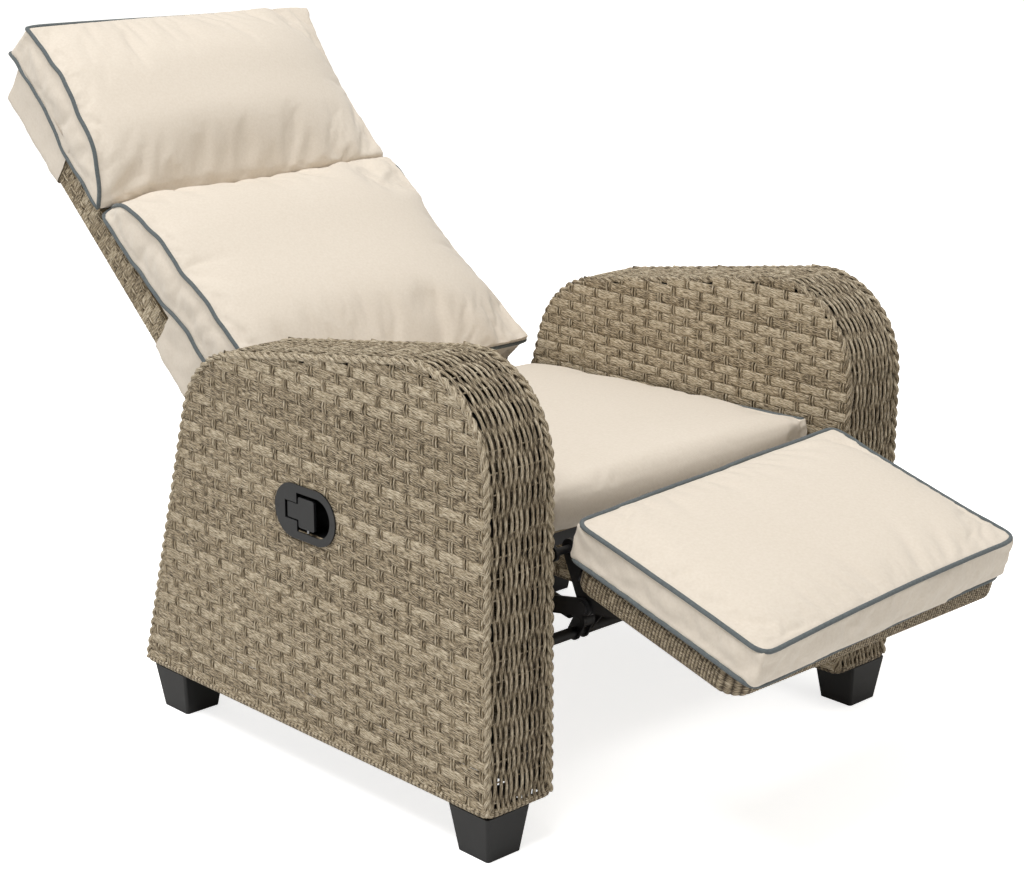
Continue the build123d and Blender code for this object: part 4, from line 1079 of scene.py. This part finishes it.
def cloth_round(name, start, end, front, over_top, node):
    """Cloth that lies round the sides and the rear of the back, forward to a given height over
    its middle plane, and over its top where asked."""
    back = settings("back")
    gap = back.cloth_gap
    half, rear = back.half_width + gap, -back.half_thickness - back.rear_depth - gap
    flare = back.pad_half_width - gap
    step, side_bend, rear_bend = 0.006, 0.02, 0.008
    line = even(rounded([(-flare, front), (-half, 0), (-half, rear), (half, rear), (half, 0),
                         (flare, front)], [side_bend, rear_bend, rear_bend, side_bend]), step)
    along = tangents(line)
    rows = [np.stack([line[:, 0], np.full(len(line), reach), line[:, 1]], axis=1)
            for reach in np.arange(start, end, step)]
    if over_top:
        top_rows, level_share, rise_rate, draw = 14, 0.2, 4, 0.004
        for share in np.linspace(0, 1, top_rows)[1:]:
            reach = end + back.hood_rise * math.sin(min(share * rise_rate, 1) * TURN / 4)
            forward = max(share - level_share, 0) / (1 - level_share)
            rows.append(np.stack([line[:, 0] * (1 - draw * share), np.full(len(line), reach),
                                  line[:, 1] + (front - line[:, 1]) * forward], axis=1))
    count, width = len(rows), len(line)
    local = np.vstack(rows)
    folds = np.maximum(sum(ripple(local, *fold) for fold in FOLDS), -gap / 2)
    local[:, 0] += np.tile(along[:, 1], count) * folds
    local[:, 2] -= np.tile(along[:, 0], count) * folds
    faces = [(r * width + c, r * width + c + 1, (r + 1) * width + c + 1, (r + 1) * width + c)
             for r in range(count - 1) for c in range(width - 1)]
    item = meshed(name, back_points(local), faces)
    item.data.shade_smooth()
    finish_piece(item, "backrest", "cushion_cloth", materials()["woven outdoor polyester"], node)


# Settings


def plain(label, says, value, **kind):
    """A setting that holds a number."""
    return FloatProperty(name=label, description=says, default=value, **kind)


def metres(label, says, value):
    """A length setting."""
    return plain(label, says, value, unit="LENGTH")


def angle(label, says, value):
    """An angle setting, in radians."""
    return plain(label, says, value, subtype="ANGLE")


def factor(label, says, value):
    """A setting that is a share of something."""
    return plain(label, says, value, subtype="FACTOR")


def whole(label, says, value):
    """A setting that holds a whole number."""
    return IntProperty(name=label, description=says, default=value)


def colour(label, code):
    """A colour setting, written as sRGB hex."""
    return StringProperty(name=label, description="sRGB hex", default=code)


class ArmSizes(bpy.types.PropertyGroup):
    """The arms and their weave"""

    front_height: metres("Front height", "Top of the arm at its front", 0.634)
    depth: metres("Depth", "Front to rear at the bottom", 0.722)
    top_slope: angle("Top slope", "Fall of the arm's top to the rear", math.radians(9.0))
    rear_lean: angle("Rear lean", "Lean of the arm's rear", math.radians(16.5))
    front_radius: metres("Front bend", "Bend at the arm's front top", 0.130)
    rear_radius: metres("Rear bend", "Bend at the arm's rear top", 0.136)
    panel_inset: metres("Panel inset", "Panel's edge from the outline", 0.0060)
    row_pitch: metres("Row pitch", "One wide strip to the next", 0.0139)
    row_cover: factor("Row cover", "Strip's width as a share of its pitch", 1.05)
    stake_pitch: metres("Stake pitch", "One pair of stakes to the next", 0.026)
    stake_radius: metres("Stake radius", "Radius of a thin stake", 0.0016)
    stake_split: metres("Stake split", "Half the gap in a pair of stakes", 0.0025)
    strip_thickness: metres("Strip thickness", "Thickness of a wide strip", 0.0016)
    weave_rise: metres("Strip rise", "How far strips weave in and out", 0.0008)
    # Painted shade: how much darker a strip is drawn where it dips under the stakes
    dip_shade: plain("Dip shade", "Darkening where a strip dips", 2.0)
    dip_width: metres("Dip width", "Half the length of a strip's dip", 0.0052)
    handle_lap: metres("Handle lap", "Weave behind the handle's flange", 0.005)
    stake_rise: metres("Stake rise", "How far stakes weave in and out", 0.0012)
    cane_rise: metres("Cane rise", "How far the round canes weave", 0.0022)
    cane_share: factor("Cane share", "Cane's width as a share of its pitch", 0.94)
    cane_wave: metres("Cane wave", "Length of one over and under", 0.066)
    # Painted shade: how much darker a cane is drawn where it goes under
    cane_shade: plain("Cane shade", "Darkening where a cane goes under", 4.0)
    cane_sway: metres("Cane sway", "How far a cane wanders sideways", 0.0008)
    band_canes: whole("Canes", "Canes across the arm's top", 22)
    band_crown: metres("Crown", "How far the strip's edges fall", 0.0025)
    braid_radius: metres("Border radius", "Radius of a border cord", 0.0049)
    braid_pitch: metres("Border pitch", "One twist of a border cord", 0.032)
    rim_radius: metres("Rim radius", "Radius of the wound bottom rim", 0.0052)
    winding_pitch: metres("Winding pitch", "One wound cane to the next", 0.0072)
    winding_depth: metres("Winding depth", "Depth between wound canes", 0.0008)


class SeatSizes(bpy.types.PropertyGroup):
    """The seat and its pad"""

    front_set_back: metres("Set back", "Seat behind the arms' front", 0.058)
    plane_height: metres("Plane height", "Underside of the pad in front", 0.374)
    tilt: angle("Tilt", "Fall of the seat to the rear", math.radians(2.2))
    length: metres("Length", "Front to rear of the pad", 0.534)
    half_width: metres("Half width", "Half the pad's width", 0.269)
    pad_edge: metres("Edge", "Pad's thickness at its edge", 0.050)
    crown: metres("Crown", "Rise of the pad's middle", 0.009)


class FootrestSizes(bpy.types.PropertyGroup):
    """The footrest and its pad"""

    tilt: angle("Tilt", "Fall of the footrest to its front", math.radians(15.6))
    half_width: metres("Half width", "Half the frame's width", 0.257)
    front_reach: metres("Front reach", "Hinge to the frame's front", 0.300)
    rear_reach: metres("Rear reach", "Hinge to the frame's rear", 0.026)
    frame_height: metres("Frame height", "Thickness of the wound frame", 0.034)
    corner_radius: metres("Corner", "Bend of the frame's corners", 0.030)
    wrap_round: metres("Section round", "Rounding of the wound section", 0.010)
    winding_pitch: metres("Winding pitch", "One wound cane to the next", 0.0050)
    winding_depth: metres("Winding depth", "Depth between wound canes", 0.0015)
    pad_skew: metres("Pad skew", "The pad's left side further back", 0.021)
    pad_rise: metres("Pad rise", "The pad's left side higher", 0.008)
    pad_draw: metres("Pad draw", "The pad's left side drawn in", 0.013)
    pad_half_width: metres("Pad half width", "Half the pad's width", 0.261)
    pad_front: metres("Pad front", "Hinge to the pad's front", 0.326)
    pad_rear: metres("Pad rear", "Hinge to the pad's rear", 0.017)
    pad_edge: metres("Edge", "Pad's thickness at its edge", 0.051)
    crown: metres("Crown", "Rise of the pad's middle", 0.008)


class BackSizes(bpy.types.PropertyGroup):
    """The back, its cushions, its hood and its sleeve"""

    recline: angle("Recline", "Slope of the back as stored", math.radians(41.5))
    half_width: metres("Half width", "Half the frame's width", 0.265)
    half_thickness: metres("Half thickness", "Half the frame's thickness", 0.017)
    rear_depth: metres("Rear depth", "The weave behind the tubes", 0.020)
    top_reach: metres("Top reach", "Pivot to the frame's top", 0.722)
    bottom_reach: metres("Bottom reach", "Pivot to the frame's bottom", 0.016)
    panel_start: metres("Panel start", "Pivot to the weave's start", 0.014)
    section_round: metres("Section round", "Bend of the woven edges", 0.005)
    pad_half_width: metres("Pad half width", "Half the cushions' width", 0.2735)
    far_draw: metres("Far draw", "How far the left side is drawn in", 0.011)
    far_fall: metres("Far fall", "The left piping below the pad's edge", 0.012)
    pad_tuck: metres("Tuck", "How far a corner is tucked in at the fold", 0.026)
    cloth_gap: metres("Cloth gap", "Cloth's distance from the weave", 0.0022)
    hood_length: metres("Hood length", "The hood's reach down the back", 0.166)
    hood_front: metres("Hood front", "The hood's reach to the pillow", 0.042)
    hood_rise: metres("Hood rise", "The hood's top over the frame's top", 0.004)
    sleeve_start: metres("Sleeve start", "Pivot to the sleeve's bottom", 0.100)
    sleeve_end: metres("Sleeve end", "Pivot to the sleeve's top", 0.242)
    sleeve_front: metres("Sleeve front", "The sleeve's reach to the pad", 0.048)


class CushionSettings(bpy.types.PropertyGroup):
    """How the cushions swell, and their piping"""

    voxel: metres("Cell", "Cell size of the pads' mesh", 0.0056)
    pressure: plain("Pressure", "Air pressure that swells a pad", 3.0)
    slack: factor("Slack", "How much larger the cloth is than the pad", 0.035)
    seam_hold: metres("Seam hold", "Cloth held at each side of a seam", 0.006)
    cap: metres("Cap", "The furthest that cloth may move", 0.012)
    steps: whole("Steps", "Steps of the simulation", 18)
    piping_radius: metres("Piping radius", "Radius of the piping", 0.0031)


class Looks(bpy.types.PropertyGroup):
    """Colours of the finishes"""

    strip_dark: colour("Strip dark", "#463b2c")
    strip_middle: colour("Strip middle", "#ab9a7e")
    strip_light: colour("Strip light", "#ded3bd")
    cane_middle: colour("Cane middle", "#a9997f")
    streak_width: plain("Streak width", "Width of a streak, mm", 1.25)
    cloth_dark: colour("Cloth dark", "#d6cbbc")
    cloth_light: colour("Cloth light", "#e6ddd1")
    piping_dark: colour("Piping dark", "#4a5154")
    piping_light: colour("Piping light", "#6f777a")
    steel_dark: colour("Steel dark", "#141416")
    steel_light: colour("Steel light", "#2c2c2f")
    foot_dark: colour("Foot dark", "#121213")
    foot_light: colour("Foot light", "#242426")


class StudioSettings(bpy.types.PropertyGroup):
    """The camera, the lights and the surroundings"""

    key_place: FloatVectorProperty(name="Key place", description="Place of the large light",
                                   default=(-2.2, -0.4, 6.4), subtype="TRANSLATION")
    key_size: metres("Key size", "Width of the large light", 4.0)
    fill_place: FloatVectorProperty(name="Fill place", description="Place of the side light",
                                    default=(2.6, -1.6, 1.9), subtype="TRANSLATION")
    fill_size: metres("Fill size", "Width of the side light", 2.2)
    camera_place: FloatVectorProperty(name="Camera", description="Place of the camera",
                                      default=(-2.04597, -2.242813, 1.25956),
                                      subtype="TRANSLATION")
    camera_turn: angle("Turn", "Camera's turn about the vertical", -0.757306)
    camera_dip: angle("Dip", "Camera's dip below level", 0.284048)
    lens: plain("Lens", "Focal length on a 36 mm sensor, in mm", 78.383)
    key_power: plain("Key light", "Power of the large light, in watts", 340.0)
    fill_power: plain("Fill light", "Power of the side light, in watts", 8.0)
    floor_glow: plain("Floor glow", "Lifts the seen floor to white", 0.74)
    sky_tint: colour("Sky tint", "#fffaf0")
    sky: plain("Sky", "Strength of the pale surroundings", 0.44)


# Operators


class ARMCHAIR_OT_arms(bpy.types.Operator):
    """Weave the two arms: side panels, round canes, border cords and bottom rims"""

    bl_idname = "armchair.arms"
    bl_label = "Weave Arms"

    def execute(self, context):
        for side, sign in SIDES:
            arm_panel(side, sign, True)
            arm_panel(side, sign, False)
            arm_band(side, sign)
            arm_borders(side, sign)
            arm_rims(side, sign)
        return {"FINISHED"}


class ARMCHAIR_OT_back_weave(bpy.types.Operator):
    """Weave the cover of the back"""

    bl_idname = "armchair.back_weave"
    bl_label = "Weave Back"

    def execute(self, context):
        back_weave()
        return {"FINISHED"}


class ARMCHAIR_OT_footrest_winding(bpy.types.Operator):
    """Wind the footrest's tube with cane"""

    bl_idname = "armchair.footrest_winding"
    bl_label = "Wind Footrest"

    def execute(self, context):
        footrest_winding()
        return {"FINISHED"}


class ARMCHAIR_OT_seat_pad(bpy.types.Operator):
    """Make the seat pad with its piping"""

    bl_idname = "armchair.seat_pad"
    bl_label = "Seat Pad"

    def execute(self, context):
        seat_cushion()
        return {"FINISHED"}


class ARMCHAIR_OT_footrest_pad(bpy.types.Operator):
    """Make the footrest's pad with its piping"""

    bl_idname = "armchair.footrest_pad"
    bl_label = "Footrest Pad"

    def execute(self, context):
        footrest_cushion()
        return {"FINISHED"}


class ARMCHAIR_OT_back_pads(bpy.types.Operator):
    """Make the lower back pad and the pillow with their piping"""

    bl_idname = "armchair.back_pads"
    bl_label = "Back Pads"

    def execute(self, context):
        lower_crown, pillow_crown = 12, 16
        back_pad("back_lower_pad", LOWER_PAD, lower_crown, "back_lower_cushion",
                 piped_ends=(True, False), closed_end=True)
        back_pad("back_pillow_pad", PILLOW_PAD, pillow_crown, "back_pillow",
                 piped_ends=(False, True), closed_end=False)
        return {"FINISHED"}


class ARMCHAIR_OT_back_cloth(bpy.types.Operator):
    """Lay the hood over the top of the back and the sleeve round its lower part"""

    bl_idname = "armchair.back_cloth"
    bl_label = "Back Cloth"

    def execute(self, context):
        back = context.scene.armchair_back
        hood_start = back.top_reach - back.hood_length
        cloth_round("back_hood_cloth", hood_start, back.top_reach, back.hood_front, True,
                    "back_hood")
        cloth_round("back_sleeve_cloth", back.sleeve_start, back.sleeve_end, back.sleeve_front,
                    False, "back_sleeve")
        return {"FINISHED"}


class ARMCHAIR_OT_hardware(bpy.types.Operator):
    """Give the steel, the fasteners, the feet, the handle and the hidden decks their finishes"""

    bl_idname = "armchair.hardware"
    bl_label = "Finish Hardware"

    def execute(self, context):
        made = materials()
        by_slot = {"black_steel": "powder coated steel", "plated_steel": "zinc plated steel",
                   "foot_plastic": "moulded polypropylene", "handle_plastic": "moulded nylon",
                   "resin_weave": "fibre resin strip", "cushion_cloth": "woven outdoor polyester"}
        slots = {s["node"]: s["material_slot"] for s in frame["record"]["subparts"]}
        for name, item in frame["nodes"].items():
            item.data.materials.clear()
            item.data.materials.append(made[by_slot[slots[name]]])
        for name in ("left_link_pins", "right_link_pins", "hinge_pins", "frame_bolts",
                     "handle_screws"):
            frame["nodes"][name].data.materials[0] = made["powder coated steel"]
        return {"FINISHED"}


class ARMCHAIR_OT_studio(bpy.types.Operator):
    """Set up the pale studio: floor, soft lights and the camera"""

    bl_idname = "armchair.studio"
    bl_label = "Studio"

    def execute(self, context):
        studio = context.scene.armchair_studio
        scene = context.scene
        scene.view_settings.view_transform = "Standard"
        lens = bpy.data.cameras.new("camera")
        lens.sensor_width = 36.0
        lens.sensor_fit = "HORIZONTAL"
        lens.lens = studio.lens
        lens.clip_end = 60.0
        camera = linked("camera", lens)
        camera.location = studio.camera_place
        camera.rotation_euler = (math.pi / 2 - studio.camera_dip, 0.0, studio.camera_turn)
        scene.camera = camera
        self.floor(studio)
        self.light("key light", studio.key_place, studio.key_size, studio.key_power)
        self.light("side light", studio.fill_place, studio.fill_size, studio.fill_power)
        world = bpy.data.worlds.new("pale surroundings")
        world.use_nodes = True
        tree = world.node_tree
        background = tree.nodes["Background"]
        seen = add_node(tree, "ShaderNodeLightPath").outputs["Is Camera Ray"]
        tint = ramp(tree, seen, [(0.0, studio.sky_tint), (1.0, "#ffffff")])
        tree.links.new(tint, background.inputs["Color"])
        tree.links.new(spread(tree, seen, To_Min=studio.sky, To_Max=1.0),
                       background.inputs["Strength"])
        scene.world = world
        return {"FINISHED"}

    def floor(self, studio):
        """A white floor that keeps the chair's shadow."""
        reach, drop = 14.0, 0.0005
        corners = np.array([(-reach, -reach, 0), (reach, -reach, 0), (reach, reach, 0),
                            (-reach, reach, 0)])
        item = meshed("floor", corners, [(0, 1, 2, 3)])
        item.location.z = -drop
        material, tree, shader = start_material("matt white paper")
        shader.inputs["Base Color"].default_value = linear("#f4f4f4")
        shader.inputs["Roughness"].default_value = 0.9
        shader.inputs["Specular IOR Level"].default_value = 0.1
        shader.inputs["Emission Color"].default_value = (1.0, 1.0, 1.0, 1.0)
        seen = add_node(tree, "ShaderNodeLightPath").outputs["Is Camera Ray"]
        glow = reckon(tree, "ShaderNodeMath", "MULTIPLY", seen, studio.floor_glow)
        tree.links.new(glow, shader.inputs["Emission Strength"])
        item.data.materials.append(material)

    def light(self, name, place, size, power):
        """A large soft lamp that points at the chair."""
        aim = Vector((0, 0, 0.35))
        lamp = bpy.data.lights.new(name, "AREA")
        lamp.shape = "DISK"
        lamp.size = size
        lamp.energy = power
        item = linked(name, lamp)
        item.location = place
        item.rotation_euler = (aim - Vector(place)).to_track_quat("-Z", "Y").to_euler()


class ARMCHAIR_PT_panel(bpy.types.Panel):
    """Lists the armchair's steps"""

    bl_label = "Armchair"
    bl_idname = "ARMCHAIR_PT_panel"
    bl_space_type = "VIEW_3D"
    bl_region_type = "UI"
    bl_category = "Armchair"

    def draw(self, context):
        for step in STEPS:
            self.layout.operator(step.bl_idname)
        for name in GROUPS:
            group = getattr(context.scene, name)
            box = self.layout.box()
            for setting in group.bl_rna.properties.keys():
                if setting not in ("rna_type", "name"):
                    box.prop(group, setting)


STEPS = (ARMCHAIR_OT_studio, ARMCHAIR_OT_hardware, ARMCHAIR_OT_arms, ARMCHAIR_OT_back_weave,
         ARMCHAIR_OT_footrest_winding, ARMCHAIR_OT_seat_pad, ARMCHAIR_OT_footrest_pad,
         ARMCHAIR_OT_back_pads, ARMCHAIR_OT_back_cloth)
GROUPS = {"armchair_arms": ArmSizes, "armchair_seat": SeatSizes,
          "armchair_footrest": FootrestSizes, "armchair_back": BackSizes,
          "armchair_cushions": CushionSettings, "armchair_looks": Looks,
          "armchair_studio": StudioSettings}


def register():
    """Registers the settings, the steps and the panel."""
    for name, group in GROUPS.items():
        bpy.utils.register_class(group)
        setattr(bpy.types.Scene, name, PointerProperty(type=group))
    for item in STEPS + (ARMCHAIR_PT_panel,):
        bpy.utils.register_class(item)


def unregister():
    """Takes all of it away again."""
    for item in reversed(STEPS + (ARMCHAIR_PT_panel,)):
        bpy.utils.unregister_class(item)
    for name, group in GROUPS.items():
        delattr(bpy.types.Scene, name)
        bpy.utils.unregister_class(group)


def main():
    """Makes the chair step by step."""
    register()
    for step in STEPS:
        category, action = step.bl_idname.split(".")
        getattr(getattr(bpy.ops, category), action)()


if __name__ == "__main__":
    main()
